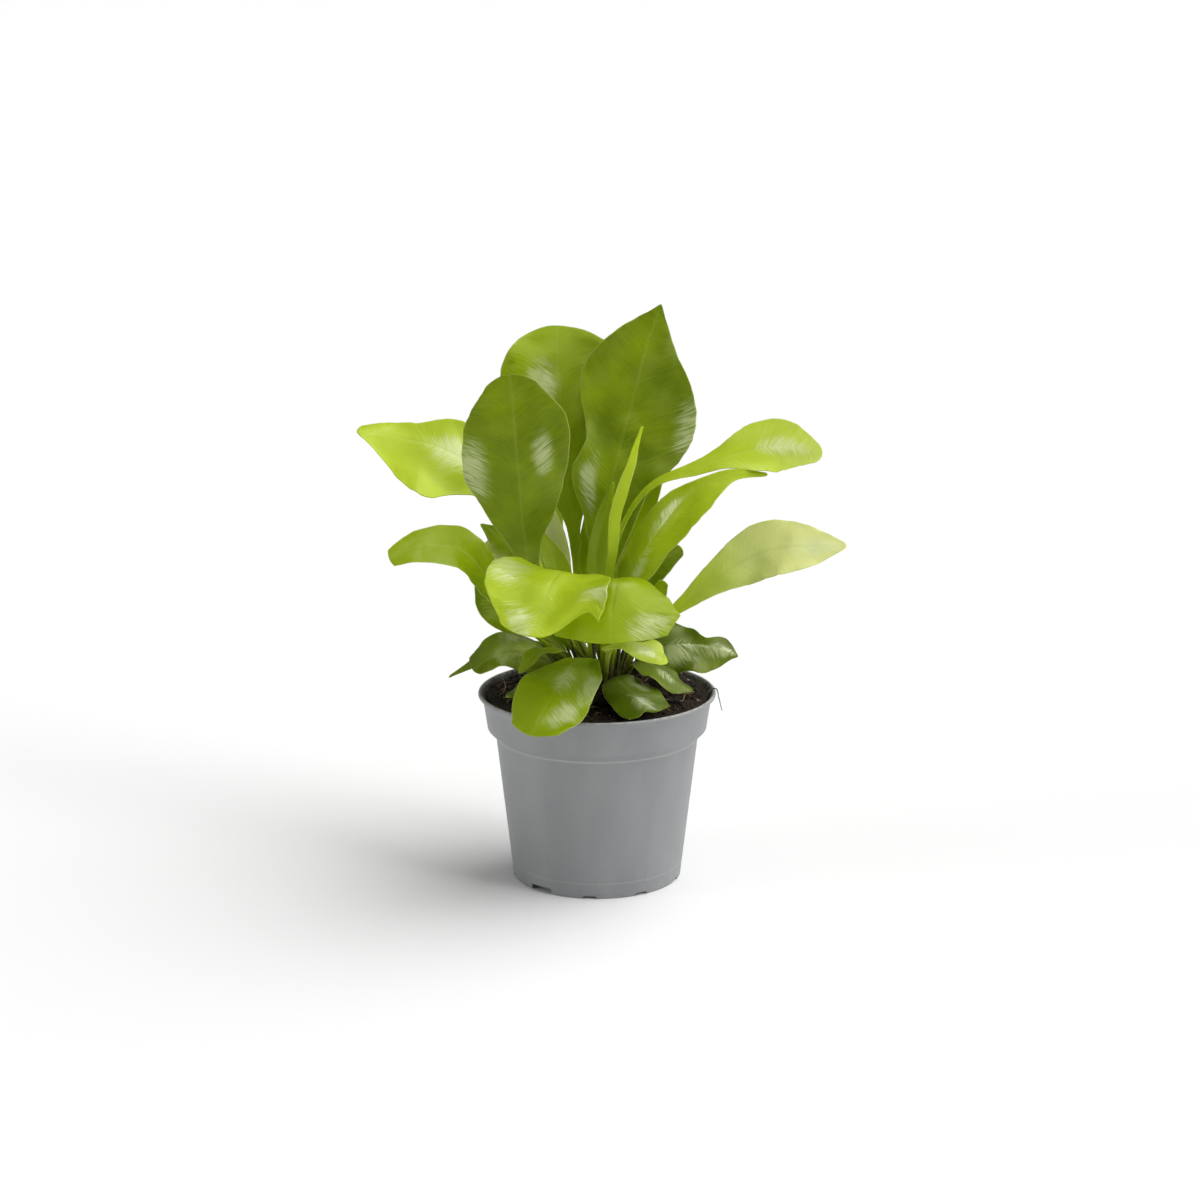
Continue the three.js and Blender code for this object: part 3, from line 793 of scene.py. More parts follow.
def soil_mesh():
    """The plug of soil: its wall in plain rings, its rough top in many, and a pole at both ends."""
    bm = bmesh.new()
    wall = list(SOIL_WALL)
    top = [(SOIL_RADIUS * (1 - k / SOIL_RINGS), None) for k in range(SOIL_RINGS)]
    rings = []
    for r, z in wall + top:
        ring = []
        for a in angles(SOIL_SEGMENTS):
            x, y = r * math.cos(a), r * math.sin(a)
            ring.append(bm.verts.new((x, y, rough_soil_height(x, y) if z is None else z)))
        rings.append(ring)
    bridge(bm, rings)
    peak = bm.verts.new((0, 0, rough_soil_height(0, 0)))
    bottom = bm.verts.new((0, 0, SOIL_WALL[0][1]))
    for k in range(SOIL_SEGMENTS):
        n = (k + 1) % SOIL_SEGMENTS
        bm.faces.new((rings[-1][k], rings[-1][n], peak))
        bm.faces.new((rings[0][n], rings[0][k], bottom))
    bmesh.ops.recalc_face_normals(bm, faces=bm.faces)
    return bm


def bed_points(t):
    """Points scattered over the upward faces of the bed, within Reach of the pot's axis."""
    x, y, _ = t.split(t.position())
    near = t.vector("LENGTH", t.join(x, y, 0.0)) < t.sizes["Reach"]
    return t.scatter(near * (t.looks_up() > BED_SLOPE))["Points"]


def grain_tree():
    """Lumpy grains that lie on the bed at random turns and sizes, more of them small than large."""
    t = ShapeTree(
        "Grains", Density=1000.0, Smallest=0.001, Largest=0.003, Flat=1.0, Long=1.0, Reach=0.052, Seed=1
    )
    size, seed = t.sizes, t.sizes["Seed"]
    shapes = []
    for k in range(GRAIN_SHAPES):
        ball = t.node("GeometryNodeMeshIcoSphere", {"Radius": 0.5, "Subdivisions": 2})["Mesh"]
        lump = t.noise(t.position() + (k * 3.7, 1.0, 2.0), 1.6, 1.0) - 0.2
        shape = t.move(ball, Position=t.position() * (lump * 2.2))
        stretch = t.join(size["Long"], 1.0, size["Flat"])
        shapes.append(t.node("GeometryNodeTransform", {"Geometry": shape, "Scale": stretch})["Geometry"])
    share = t.random(0.0, 1.0, seed + 2) ** 2.2
    wide = size["Smallest"] + (size["Largest"] - size["Smallest"]) * share
    turn = t.any_turn(0.5, seed + 1)
    return t.finish(t.put(t.variants(shapes), bed_points(t), turn, t.join(wide, wide, wide), pick=True))


def fibre_tree():
    """Thin bent fibres that lie on the bed."""
    t = ShapeTree("Fibres", Density=1000.0, Shortest=0.004, Longest=0.014, Thick=0.0002, Reach=0.05, Seed=1)
    size, seed = t.sizes, t.sizes["Seed"]
    shapes = []
    for bend in FIBRE_BENDS:
        ends = {"Resolution": 10, **dict(zip(BEND_SOCKETS, bend))}
        line = t.node("GeometryNodeCurvePrimitiveBezierSegment", ends)["Curve"]
        ring = {"Resolution": 5, "Radius": size["Thick"] * FIBRE_SCALE}
        ring = t.node("GeometryNodeCurvePrimitiveCircle", ring)["Curve"]
        tube = {"Curve": line, "Profile Curve": ring, "Fill Caps": True}
        shapes.append(t.node("GeometryNodeCurveToMesh", tube)["Mesh"])
    long = t.random(size["Shortest"], size["Longest"], seed + 2)
    turn = t.any_turn(0.3, seed + 1)
    return t.finish(t.put(t.variants(shapes), bed_points(t), turn, t.join(long, long, long), pick=True))


class FERN_OT_soil(bpy.types.Operator):
    """Fill the pot with potting soil: the bed, its crumbs, bark chips, white grains and fibres"""

    bl_idname = "fern.soil"
    bl_label = "Soil"

    def execute(self, context):
        pot = context.scene.fern_pot
        dirt = earthy_material("soil_dirt", pot.earth, pot.bark, 260.0)
        bed = new_piece("soil_bed", soil_mesh(), dirt)
        dress(bed, "potting_soil", "soil")

        bark = earthy_material("soil_bark", pot.earth, toned(pot.bark, 1.6), 500.0, 0.8)
        white = earthy_material("soil_perlite", toned(pot.perlite, 0.45), pot.perlite, 900.0, 0.95)
        straw = earthy_material("soil_fibre", (0.1, 0.06, 0.03), (0.36, 0.25, 0.13), 300.0, 0.7)
        grains = grain_tree()
        litter = (
            ("soil_crumbs", dirt, dict(Density=130000.0, Smallest=0.0008, Largest=0.0042, Flat=0.8)),
            ("soil_chips", bark, dict(Density=26000.0, Smallest=0.0012, Largest=0.0038, Flat=0.3, Long=2.2)),
            ("soil_grains", white, dict(Density=7000.0, Smallest=0.0009, Largest=0.003, Flat=0.8)),
        )
        for k, (name, material, sizes) in enumerate(litter):
            piece = grow(name, bed.data.copy(), grains, material, Seed=pot.seed + 10 * k, **sizes)
            dress(piece, "potting_soil")
        piece = grow("soil_fibres", bed.data.copy(), fibre_tree(), straw, Density=16000.0, Seed=pot.seed + 50)
        dress(piece, "potting_soil")
        return {"FINISHED"}


# ---- crown ----
CROWN_CENTRE = Vector((0.002, 0.004, 0.094))
CROWN_RADIUS = 0.0165
CROWN_HEIGHT = 0.009
CROWN_RINGS = 5  # the ring at which the sockets would be as low as the crown's middle
SEAT_PITCH = 4.2 * MM  # between two rings
SEAT_DEPTH = 3 * MM
SEAT_RISE = 3 * MM  # how far a stalk stands straight out of its socket
SEAT_LEAN = 0.14  # how much more each ring's stalks lean out
SCALE_HALF_WIDTH = 0.16  # of its length
SCALE_SLOPE = -0.1  # scales stand on faces that look up at least so far, so on the flanks too
STUB_FOOT = CROWN_CENTRE + Vector((0, 0, 0.002))
STUB_SCALE = 0.0135  # by which the stump's cone is scaled across
STUB_RINGS = (  # how many, radius, first in degrees, lean, shortest and tallest
    (18, 0.0137, 10.0, 0.38, 0.012, 0.022),
    (12, 0.0104, 15.0, 0.14, 0.022, 0.036),
)


def crown_mesh():
    """A lumpy, flattened ball."""
    bm = bmesh.new()
    bmesh.ops.create_icosphere(bm, subdivisions=6, radius=1)
    for vert in bm.verts:
        x, y, z = vert.co
        lump = 1 + 0.05 * math.sin(5 * x + 2 * z) + 0.04 * math.sin(6 * y - 3 * z + 1)
        lump += 0.03 * noise.noise(vert.co * 9)
        vert.co = (x * CROWN_RADIUS * lump, y * CROWN_RADIUS * lump, z * CROWN_HEIGHT * lump)
    bmesh.ops.translate(bm, vec=CROWN_CENTRE, verts=bm.verts)
    return bm


def scale_tree():
    """Narrow pointed scales that stand on a surface and lean outwards."""
    t = ShapeTree("Scales", Density=300000.0, Shortest=0.0018, Longest=0.0042, Seed=3)
    size, seed = t.sizes, t.sizes["Seed"]
    points = t.scatter(t.looks_up() > SCALE_SLOPE)
    cone = t.node("GeometryNodeMeshCone", {
        "Vertices": 4, "Side Segments": 3,
        "Radius Top": 0.0, "Radius Bottom": SCALE_HALF_WIDTH, "Depth": 1.0,
    })["Mesh"]
    x, y, z = t.split(t.position())
    shape = t.move(cone, Position=t.join(x, y * 0.3 + z * z * 0.5, z))
    both = {"Rotation": points["Rotation"], "Rotate By": t.any_turn(0.8, seed + 1)}
    turn = t.node("FunctionNodeRotateRotation", both, {"rotation_space": "LOCAL"})["Rotation"]
    long = t.random(size["Shortest"], size["Longest"], seed + 2)
    return t.finish(t.put(shape, points["Points"], turn, t.join(long, long, long)))


def stub_tree():
    """Stumps of old stalks on a ring, bent outwards, each with its own height and turn."""
    t = ShapeTree("Stubs", Count=18, Radius=0.014, First=0.0, Lean=0.4, Shortest=0.014, Tallest=0.026, Seed=5)
    size, seed = t.sizes, t.sizes["Seed"]
    ring = t.node("GeometryNodeMeshCircle", {"Vertices": size["Count"], "Radius": size["Radius"]})["Mesh"]
    index = t.node("GeometryNodeInputIndex")["Index"]
    turn = index * (2 * math.pi) / size["Count"] + size["First"]
    radius = size["Radius"] * t.random(0.93, 1.07, seed)
    base = t.vector("ADD", t.join(t.cos(turn) * radius, t.sin(turn) * radius, 0.0), tuple(STUB_FOOT))
    ring = t.move(ring, Position=base)
    points = t.node("GeometryNodeMeshToPoints", {"Mesh": ring})["Points"]
    stump = t.node("GeometryNodeMeshCone", {
        "Vertices": 9, "Side Segments": 8, "Fill Segments": 2,
        "Radius Top": 0.038, "Radius Bottom": 0.07, "Depth": 1.0,
    })["Mesh"]
    x, y, z = t.split(t.position())
    rough = 1 + (t.noise(t.position(), 6.0, 1.0) - 0.5) * 0.7
    bent = t.join(x * rough + z * z * 0.16, y * rough + t.sin(z * 4.0) * 0.03, z + x * 0.8 * z ** 4.0)
    stump = t.move(stump, Position=bent)
    lean = size["Lean"] + t.random(-0.12, 0.12, seed + 1)
    long = t.random(size["Shortest"], size["Tallest"], seed + 2)
    thick = STUB_SCALE * t.random(0.8, 1.15, seed + 3)
    turn = t.join(0.0, lean, turn + t.random(-0.2, 0.2, seed + 4))
    return t.finish(t.put(stump, points, turn, t.join(thick, thick, long)))


class FERN_OT_crown(bpy.types.Operator):
    """Build the short rhizome that the fronds grow from, its brown scales and the stumps of old stalks"""

    bl_idname = "fern.crown"
    bl_label = "Crown"

    def execute(self, context):
        fronds = context.scene.fern_fronds
        dark = toned(fronds.scale, 0.3)
        bark = earthy_material("crown_skin", dark, fronds.scale, 420.0, 0.85)
        rhizome = new_piece("fern_crown", crown_mesh(), bark)
        dress(rhizome, "rhizome", "crown")
        husk = earthy_material("crown_scales", dark, toned(fronds.scale, 2.0), 300.0, 0.6)
        scales = grow("crown_scales", rhizome.data.copy(), scale_tree(), husk)
        dress(scales, "rhizome")
        dry = earthy_material("crown_stubs", (0.02, 0.018, 0.006), (0.1, 0.09, 0.03), 520.0, 0.7)
        tree = stub_tree()
        for k, (count, radius, first, lean, shortest, tallest) in enumerate(STUB_RINGS):
            mesh = bpy.data.meshes.new("crown_stubs")
            stubs = grow(
                f"crown_stubs_{k + 1}", mesh, tree, dry,
                Count=count, Radius=radius, First=math.radians(first), Lean=lean, Shortest=shortest,
                Tallest=tallest, Seed=40 + 10 * k,
            )
            dress(stubs, "rhizome")
        return {"FINISHED"}


# ---- fronds ----
# Each frond has, in millimetres and degrees:
#   seat     (ring, place): its socket in the crown, on rings of 6, 12 and 18 places, from +X round by +Y
#   spine    the midrib beyond the crown, root to tip
#   heading  the way it leans, from +X round by +Y
#   stalk    share of the length that is bare stalk
#   half     half widths at equal steps along the blade; left and right where the sides differ, seen from
#            above with the tip pointing away
#   end      how far the margins stand back from the midrib at the very tip
#   roll     turn about the midrib at the blade's base and at its tip
#   cup      how far each half curls up; below 0 it curls down
#   wave     (height, waves, start) of the ruffle along the margins
#   notch    (depth, place, width) of a notch in the end; the place runs from -1, left, to 1, right
#   tone     0 for a dark old frond, 0.5 for a grown one, 1 for a bright young one, 1.7 for the palest;
#            above 1 it is partly painted sheen and light
#   paler    how much the tone rises from the blade's base to its tip
#   sheen    up to three spots of painted sheen, where the coat is glossier too: the share of the blade's
#            length, the place across, the size
#   small    whether it makes do with fewer points
PLAIN = dict(
    stalk=0.35, end=1, roll=(0, 0), cup=20, wave=(1, 2, 0), notch=(0, 0, 1), small=False, tone=0.5, paler=0,
    half=None, left=None, right=None, sheen=(),
)
NO_SHEEN = (-9.0, 0.0, 0.1)  # a spot that lies off the blade
SMALL = dict(small=True)

FRONDS = {
    "tall_right": dict(
        seat=(1, 1), heading=90, stalk=0.24, cup=14, wave=(1.5, 2.5, 1), tone=0.25,
        left=(2, 7, 12, 21, 18, 26, 28, 17, 1), right=(2, 9, 15, 20, 31, 34, 27, 14, 1),
        sheen=((0.62, 0.92, 0.1), (0.35, -0.6, 0.1),),
        spine=((3, 11, 150), (6, 14, 191), (12, 19, 218), (18, 24, 239), (24, 29, 263), (32, 34, 286.5)),
    ),
    "tall_middle": dict(
        seat=(1, 2), heading=95, stalk=0.34, cup=10, wave=(1, 2, 2), end=9, tone=0.43,
        left=(2, 4, 10, 19, 26, 30, 29, 20), right=(2, 4, 12, 21, 26, 29, 28, 24),
        sheen=((0.75, -0.3, 0.12),),
        spine=((-9, 17, 140), (-12, 24, 176), (-17, 31, 209), (-19, 39, 241), (-20, 46, 260), (-20, 55, 273)),
    ),
    "tall_left": dict(
        seat=(1, 4), heading=80, stalk=0.2, cup=12, wave=(1, 2, 0), end=5, tone=0.22,
        left=(2, 4, 6, 9, 18, 26, 27, 24, 12), right=(2, 3, 5, 8, 17, 23, 27, 26, 13),
        sheen=((0.72, 0.5, 0.09), (0.67, -0.85, 0.13)),
        spine=((-26, -5, 134), (-35, -11, 172), (-38, -15, 207), (-40, -17, 236), (-42, -14, 259)),
    ),
    "upper_left": dict(
        seat=(2, 6), heading=180, stalk=0.48, roll=(-40, -50), cup=12, wave=(1.5, 2, 1), end=2, tone=1.0,
        left=(2, 10, 19, 33, 30, 18, 3), right=(2, 8, 15, 19, 12, 9, 3),
        sheen=((0.45, 0.1, 0.2),),
        spine=((-21, 4, 142), (-36, 8, 174), (-54, 10, 202), (-76, 11, 217), (-98, 11, 223), (-119, 8, 227)),
    ),
    "lower_left": dict(
        seat=(2, 7), heading=190, stalk=0.42, roll=(-40, -50), cup=16, wave=(1, 2, 2), tone=0.3, paler=0.15,
        half=(2, 8, 12, 13, 12, 9, 5),
        spine=(
            (-23, -3, 119), (-44, -12, 140), (-57, -18, 162),
            (-70, -23, 175), (-85, -26, 176), (-101, -29, 170),
        ),
    ),
    "left_dark": dict(
        SMALL, seat=(3, 10), heading=200, stalk=0.3, roll=(-75, -75), cup=20, tone=0.25,
        left=(2, 6, 13, 14, 4), right=(2, 7, 10, 9, 2),
        spine=((-22, 8, 121), (-38, 6, 133), (-50, 4, 143), (-60, 2, 156)),
    ),
    "front_left": dict(
        seat=(2, 8), heading=-110, stalk=0.46, roll=(-5, -5), cup=20, wave=(1.5, 1.5, 2), end=4,
        notch=(16.5, -0.75, 0.35), left=(2, 15, 28, 31, 32, 31), right=(2, 21, 30, 31, 27, 16), tone=0.82,
        sheen=((0.45, 0.75, 0.16), (0.92, 0.35, 0.16), (0.7, -0.85, 0.14),),
        spine=(
            (-5, -12, 136), (-11, -23, 157), (-17, -35, 165),
            (-22, -50, 163), (-26, -63, 155), (-32, -76, 143),
        ),
    ),
    "front_right": dict(
        seat=(2, 9), heading=-90, stalk=0.42, cup=-14, wave=(1.5, 1.5, 0), end=5,
        half=(2, 6, 12, 19, 27, 32, 33, 27), tone=0.6,
        sheen=((0.9, -0.6, 0.16),),
        spine=((5, -17, 140), (9, -25, 157), (10, -37, 162), (9, -49, 160), (7, -60, 151), (7, -68, 138)),
    ),
    "front_pale": dict(
        SMALL, seat=(3, 14), heading=-50, stalk=0.35, cup=-10, half=(2, 9, 13, 12, 3), tone=1.15,
        sheen=((0.75, 0.1, 0.2),),
        spine=((6, -20, 121), (13, -36, 130), (22, -46, 131), (33, -55, 124)),
    ),
    "front_drooping": dict(
        seat=(3, 13), heading=-105, stalk=0.22, cup=-10, wave=(2, 2, 1), end=4,
        half=(2, 10, 16, 19, 20, 18, 13), tone=0.43,
        sheen=((0.48, -0.05, 0.13), (0.8, -0.5, 0.14), (0.5, -0.85, 0.13),),
        spine=((-5, -22, 118), (-11, -34, 119), (-17, -48, 113), (-23, -58, 107), (-31, -71, 93)),
    ),
    "front_small": dict(
        SMALL, seat=(3, 15), heading=-50, stalk=0.2, roll=(10, 10), cup=-14, notch=(3, 0.2, 0.25), end=2,
        half=(2, 9, 13, 14, 12), tone=0.04,
        sheen=((0.85, 0.0, 0.16), (0.5, -0.6, 0.12),),
        spine=((11, -24, 108), (18, -38, 104.5), (27, -52, 98.5)),
    ),
    "front_bluish": dict(
        SMALL, seat=(3, 16), heading=-30, stalk=0.25, cup=-10, end=2, tone=0.12,
        left=(2, 6, 8, 7, 3), right=(2, 8, 12, 11, 4),
        sheen=((0.62, 0.1, 0.15),),
        spine=((20, -10, 113), (30, -18, 112), (38, -24, 108), (47, -28, 103)),
    ),
    "right_dark": dict(
        seat=(3, 0), heading=0, stalk=0.2, roll=(30, 35), cup=-6, wave=(2, 2, 0), tone=0.08,
        left=(2, 17, 21, 13, 5, 10, 1), right=(2, 12, 16, 18, 20, 15, 1),
        sheen=((0.42, 0.3, 0.2), (0.85, 0.0, 0.16),),
        spine=((24, 8, 112), (36, 7, 117), (48, 6, 118), (60, 4, 117), (71, 1, 113)),
    ),
    "left_low": dict(
        SMALL, seat=(3, 9), heading=185, stalk=0.3, roll=(-30, -30), cup=-10, end=2, tone=0.22,
        left=(2, 8, 9, 8, 5), right=(2, 12, 16, 16, 11),
        spine=((-25, -3, 111), (-38, -5, 116), (-50, -7, 116), (-62, -10, 109)),
    ),
    "left_thin": dict(
        SMALL, seat=(3, 8), heading=165, stalk=0.15, roll=(-70, -25), half=(3, 8, 9, 7, 4, 3, 1), tone=0.15,
        spine=((-34, 16, 109), (-49, 19, 109), (-64, 20, 104), (-76, 21, 97)),
    ),
    # far_right: its rising tone gives a pale tip that is partly a painted sheen highlight
    "far_right": dict(
        seat=(2, 0), heading=0, stalk=0.3, roll=(60, 55), cup=10, wave=(1, 2, 0),
        half=(2, 5, 9, 14, 15, 11, 2), tone=0.98, paler=0.95,
        sheen=((0.9, 0.0, 0.25),),
        spine=((24, 4, 124), (45, 4, 141), (64, 4, 156), (84, 3, 167), (105, 0, 170), (124, -2, 171)),
    ),
    "upper_right": dict(
        seat=(2, 11), heading=-10, stalk=0.5, roll=(40, 60), cup=10, wave=(1, 2, 0), end=3,
        half=(2, 2.5, 4, 7, 13, 13, 5), tone=0.86, paler=0.4,
        sheen=((0.8, 0.0, 0.16),),
        spine=(
            (6, -6, 150), (13, -12, 184), (27, -15, 204), (48, -17, 213),
            (72, -16, 221), (90, -15, 224), (110, -14, 219),
        ),
    ),
    "middle_right": dict(
        seat=(2, 10), heading=-20, stalk=0.24, roll=(60, 60), cup=20, tone=0.78,
        left=(3, 6, 11, 12, 9, 5, 3, 1), right=(3, 9, 13, 16, 19, 14, 4, 1),
        sheen=((0.52, -0.25, 0.13), (0.25, 0.2, 0.12),),
        spine=(
            (13, -12, 146), (22, -18, 168), (33, -22, 187),
            (48, -25, 203), (64, -25, 211), (83, -22, 211),
        ),
    ),
    "slim_upright": dict(
        SMALL, seat=(1, 5), heading=-80, stalk=0.2, roll=(40, 50), cup=60,
        half=(2, 3, 5, 6, 5, 1), tone=0.95,
        spine=((5, -11, 140), (8, -16, 165), (13, -22, 196), (22, -28, 236)),
    ),
    "slim_middle": dict(
        SMALL, seat=(0, 0), heading=-80, stalk=0.2, roll=(-30, -30), cup=40,
        half=(2, 4, 6, 6, 4, 1), tone=0.5,
        spine=((0, -1, 140), (0, -3, 166), (3, -4, 185), (8, -5, 204)),
    ),
    # pale_back: its tone past the palest is partly painted light on a frond that stands in shade
    "pale_back": dict(
        SMALL, seat=(2, 4), heading=110, stalk=0.4, half=(2, 5, 7, 6, 1), tone=1.75,
        sheen=((0.7, 0.0, 0.2),),
        spine=((-14, 19, 132), (-19, 26, 153), (-23, 29, 170), (-24, 32, 187)),
    ),
    "glossy_back": dict(
        SMALL, seat=(1, 3), heading=140, stalk=0.4, roll=(-20, -20), half=(2, 5, 7, 6, 2), tone=0.4,
        spine=((-14, 9, 132), (-19, 12, 150), (-23, 15, 162), (-28, 17, 173)),
    ),
    "sliver_back": dict(
        SMALL, seat=(2, 3), heading=90, stalk=0.5, cup=30, half=(1, 3, 4, 3, 0.5), tone=0.6,
        spine=((-4, 28, 128), (-6, 34, 150), (-6, 37, 166), (-6, 40, 178)),
    ),
    "dark_left_back": dict(
        SMALL, seat=(3, 7), heading=150, stalk=0.4, roll=(-40, -40), half=(2, 7, 9, 8, 1), tone=0.2,
        spine=((-20, 16, 130), (-34, 20, 151), (-46, 24, 166), (-59, 26, 176)),
    ),
    "dark_right_back": dict(
        SMALL, seat=(2, 1), heading=40, stalk=0.4, roll=(40, 40), end=2, half=(2, 5, 7, 7, 4), tone=0.2,
        spine=((13, 15, 128), (23, 20, 146), (33, 22, 157), (43, 24, 164)),
    ),
    "pale_right_back": dict(
        SMALL, seat=(3, 1), heading=30, stalk=0.4, roll=(40, 40), half=(2, 4, 5, 5, 3), tone=0.6,
        spine=((20, 12, 120), (27, 14, 133), (31, 15, 142), (34, 15, 149)),
    ),
    "soil_left": dict(
        SMALL, seat=(3, 12), heading=215, cup=5, end=3, half=(2, 5, 7, 7, 4), tone=0.15,
        spine=((-14, -18, 109), (-24, -28, 108), (-34, -38, 107), (-44, -45, 105)),
    ),
    "low_left": dict(
        SMALL, seat=(3, 11), heading=205, cup=5, end=2, half=(2, 5, 7, 7, 3), tone=0.3,
        spine=((-16, -8, 118), (-24, -13, 121), (-32, -19, 118), (-38, -24, 111)),
    ),
    "back_tall_right": dict(
        seat=(2, 2), heading=70, stalk=0.3, cup=14, half=(2, 8, 15, 20, 21, 15, 2), tone=0.5,
        spine=((8, 20, 145), (13, 33, 180), (17, 46, 214), (20, 62, 238)),
    ),
    "back_tall_left": dict(
        seat=(3, 6), heading=125, cup=12, half=(2, 8, 14, 19, 19, 13, 3), tone=0.55,
        spine=((-19, 32, 142), (-30, 45, 176), (-38, 58, 206), (-44, 74, 224)),
    ),
    "back_right": dict(
        seat=(3, 2), heading=65, stalk=0.4, cup=12, half=(2, 8, 12, 13, 12, 8, 3), tone=0.6,
        spine=((16, 22, 126), (20, 38, 148), (24, 56, 157), (27, 74, 152), (29, 86, 138)),
    ),
    "back_low_right": dict(
        seat=(3, 4), heading=78, cup=-12, end=6, half=(2, 10, 16, 18, 16, 9), tone=0.4,
        spine=((8, 22, 115), (12, 40, 119), (14, 57, 114), (16, 72, 99)),
    ),
    "back_low_left": dict(
        seat=(3, 5), heading=105, cup=-12, end=5, half=(2, 8, 12, 14, 13, 8), tone=0.3,
        spine=((-8, 24, 114), (-12, 41, 117), (-15, 57, 112), (-18, 70, 98)),
    ),
    "back_left": dict(
        seat=(2, 5), heading=150, stalk=0.4, roll=(-20, -30), cup=12, half=(2, 8, 12, 13, 12, 8, 3), tone=0.6,
        spine=((-17, 23.5, 130), (-36, 42, 152), (-50, 59, 158), (-63, 70, 151), (-70, 75, 143)),
    ),
}
SPINE_STEPS = 60  # points between two of a spine's points
TIP = 0.3 * MM  # least half width of a blade
SMALL_SHARE = 0.6  # of a large frond's rows and columns
SEED_STEP = 1.37  # between one frond's noise and the next one's
ROWS_CLOSER = 0.11  # how much closer the rows stand at the root and at the tip
COLUMNS_CLOSER = 0.12  # and the columns at the margins and at the midrib
NICKS = 0.0016  # how far the margin of a wide blade wanders in and out
NICKED_WIDTH = 0.012  # the half width from which it does so in full
WAVED_WIDTH = 0.008  # the half width from which a blade waves in full
CRINKLES = 0.0016  # height of the fine crinkles near the margins
GROOVE_REACH = 0.0009  # out from the midrib
EDGE_ROUNDING = 0.8  # how far in the faces close, in thicknesses of the margin
SHEEN_ACROSS = 2.4  # how much wider a spot of painted sheen is than long, in shares of the blade


def smooth_row(values, share):
    """The value at that share of a row of equally spaced values, on a smooth curve through them."""
    last = len(values) - 1
    i = min(int(share * last), last - 1)
    s = share * last - i
    b, c = values[i], values[i + 1]
    a = values[i - 1] if i > 0 else 2 * b - c
    d = values[i + 2] if i + 2 <= last else 2 * c - b
    return b + 0.5 * s * (c - a + s * (2 * a - 5 * b + 4 * c - d + s * (3 * (b - c) + d - a)))


def seated_spine(frond):
    """The midrib's points: its foot in the crown, its mouth, and the spine."""
    ring, place = frond["seat"]
    turn = 2 * math.pi * place / (6 * ring) if ring else 0.0
    out = Vector((math.cos(turn), math.sin(turn), 0)) if ring else Vector()
    rise = CROWN_HEIGHT * math.sqrt(1 - (ring / CROWN_RINGS) ** 2)
    lean = (Vector((0, 0, 1)) + out * SEAT_LEAN * ring).normalized()
    foot = CROWN_CENTRE + Vector((0, 0, rise)) + out * ring * SEAT_PITCH - lean * SEAT_DEPTH
    mouth = foot + lean * (SEAT_DEPTH + SEAT_RISE)
    return [foot, mouth, *(Vector(p) * MM for p in frond["spine"])]


def curve_through(points):
    """Many points on the centripetal Catmull-Rom curve through the given ones."""
    ends = [2 * points[0] - points[1], *points, 2 * points[-1] - points[-2]]
    made = []
    for p0, p1, p2, p3 in zip(ends, ends[1:], ends[2:], ends[3:]):
        d0, d1, d2 = (math.sqrt((b - a).length) for a, b in ((p0, p1), (p1, p2), (p2, p3)))
        start = ((p1 - p0) / d0 - (p2 - p0) / (d0 + d1) + (p2 - p1) / d1) * d1
        end = ((p2 - p1) / d1 - (p3 - p1) / (d1 + d2) + (p3 - p2) / d2) * d1
        for k in range(SPINE_STEPS):
            s = k / SPINE_STEPS
            bend = 3 * (p2 - p1) - 2 * start - end
            twist = 2 * (p1 - p2) + start + end
            made.append(p1 + s * (start + s * (bend + s * twist)))
    return [*made, points[-1]]


def blade_share(u, stalk):
    """0 at the blade's base and 1 at its tip, from the share of the whole length; below 0 on the stalk."""
    return (u - stalk) / (1 - stalk)


def midrib_mesh(name, frond, stalk_width):
    """The midrib as a line of points that carry the blade's half widths left and right, and its length."""
    points = curve_through(seated_spine(frond))
    lengths = [0.0]
    for a, b in zip(points, points[1:]):
        lengths.append(lengths[-1] + (b - a).length)
    mesh = bpy.data.meshes.new(name)
    mesh.from_pydata(points, [(i, i + 1) for i in range(len(points) - 1)], [])
    stalk = frond["stalk"]
    for side in ("left", "right"):
        widths = frond[side] or frond["half"]
        half = mesh.attributes.new(side, "FLOAT", "POINT")
        for i, run in enumerate(lengths):
            u = run / lengths[-1]
            width = smooth_row(widths, max(0.0, blade_share(u, stalk))) * MM
            if u < stalk:
                width = stalk_width + (width - stalk_width) * (u / stalk) ** 2
            half.data[i].value = max(TIP, width)
    return mesh, lengths[-1]


def closer(t, x, share):
    """Steps from one whole number to the next that stand closer together at both ends."""
    return x - t.sin(x * (2 * math.pi)) * share


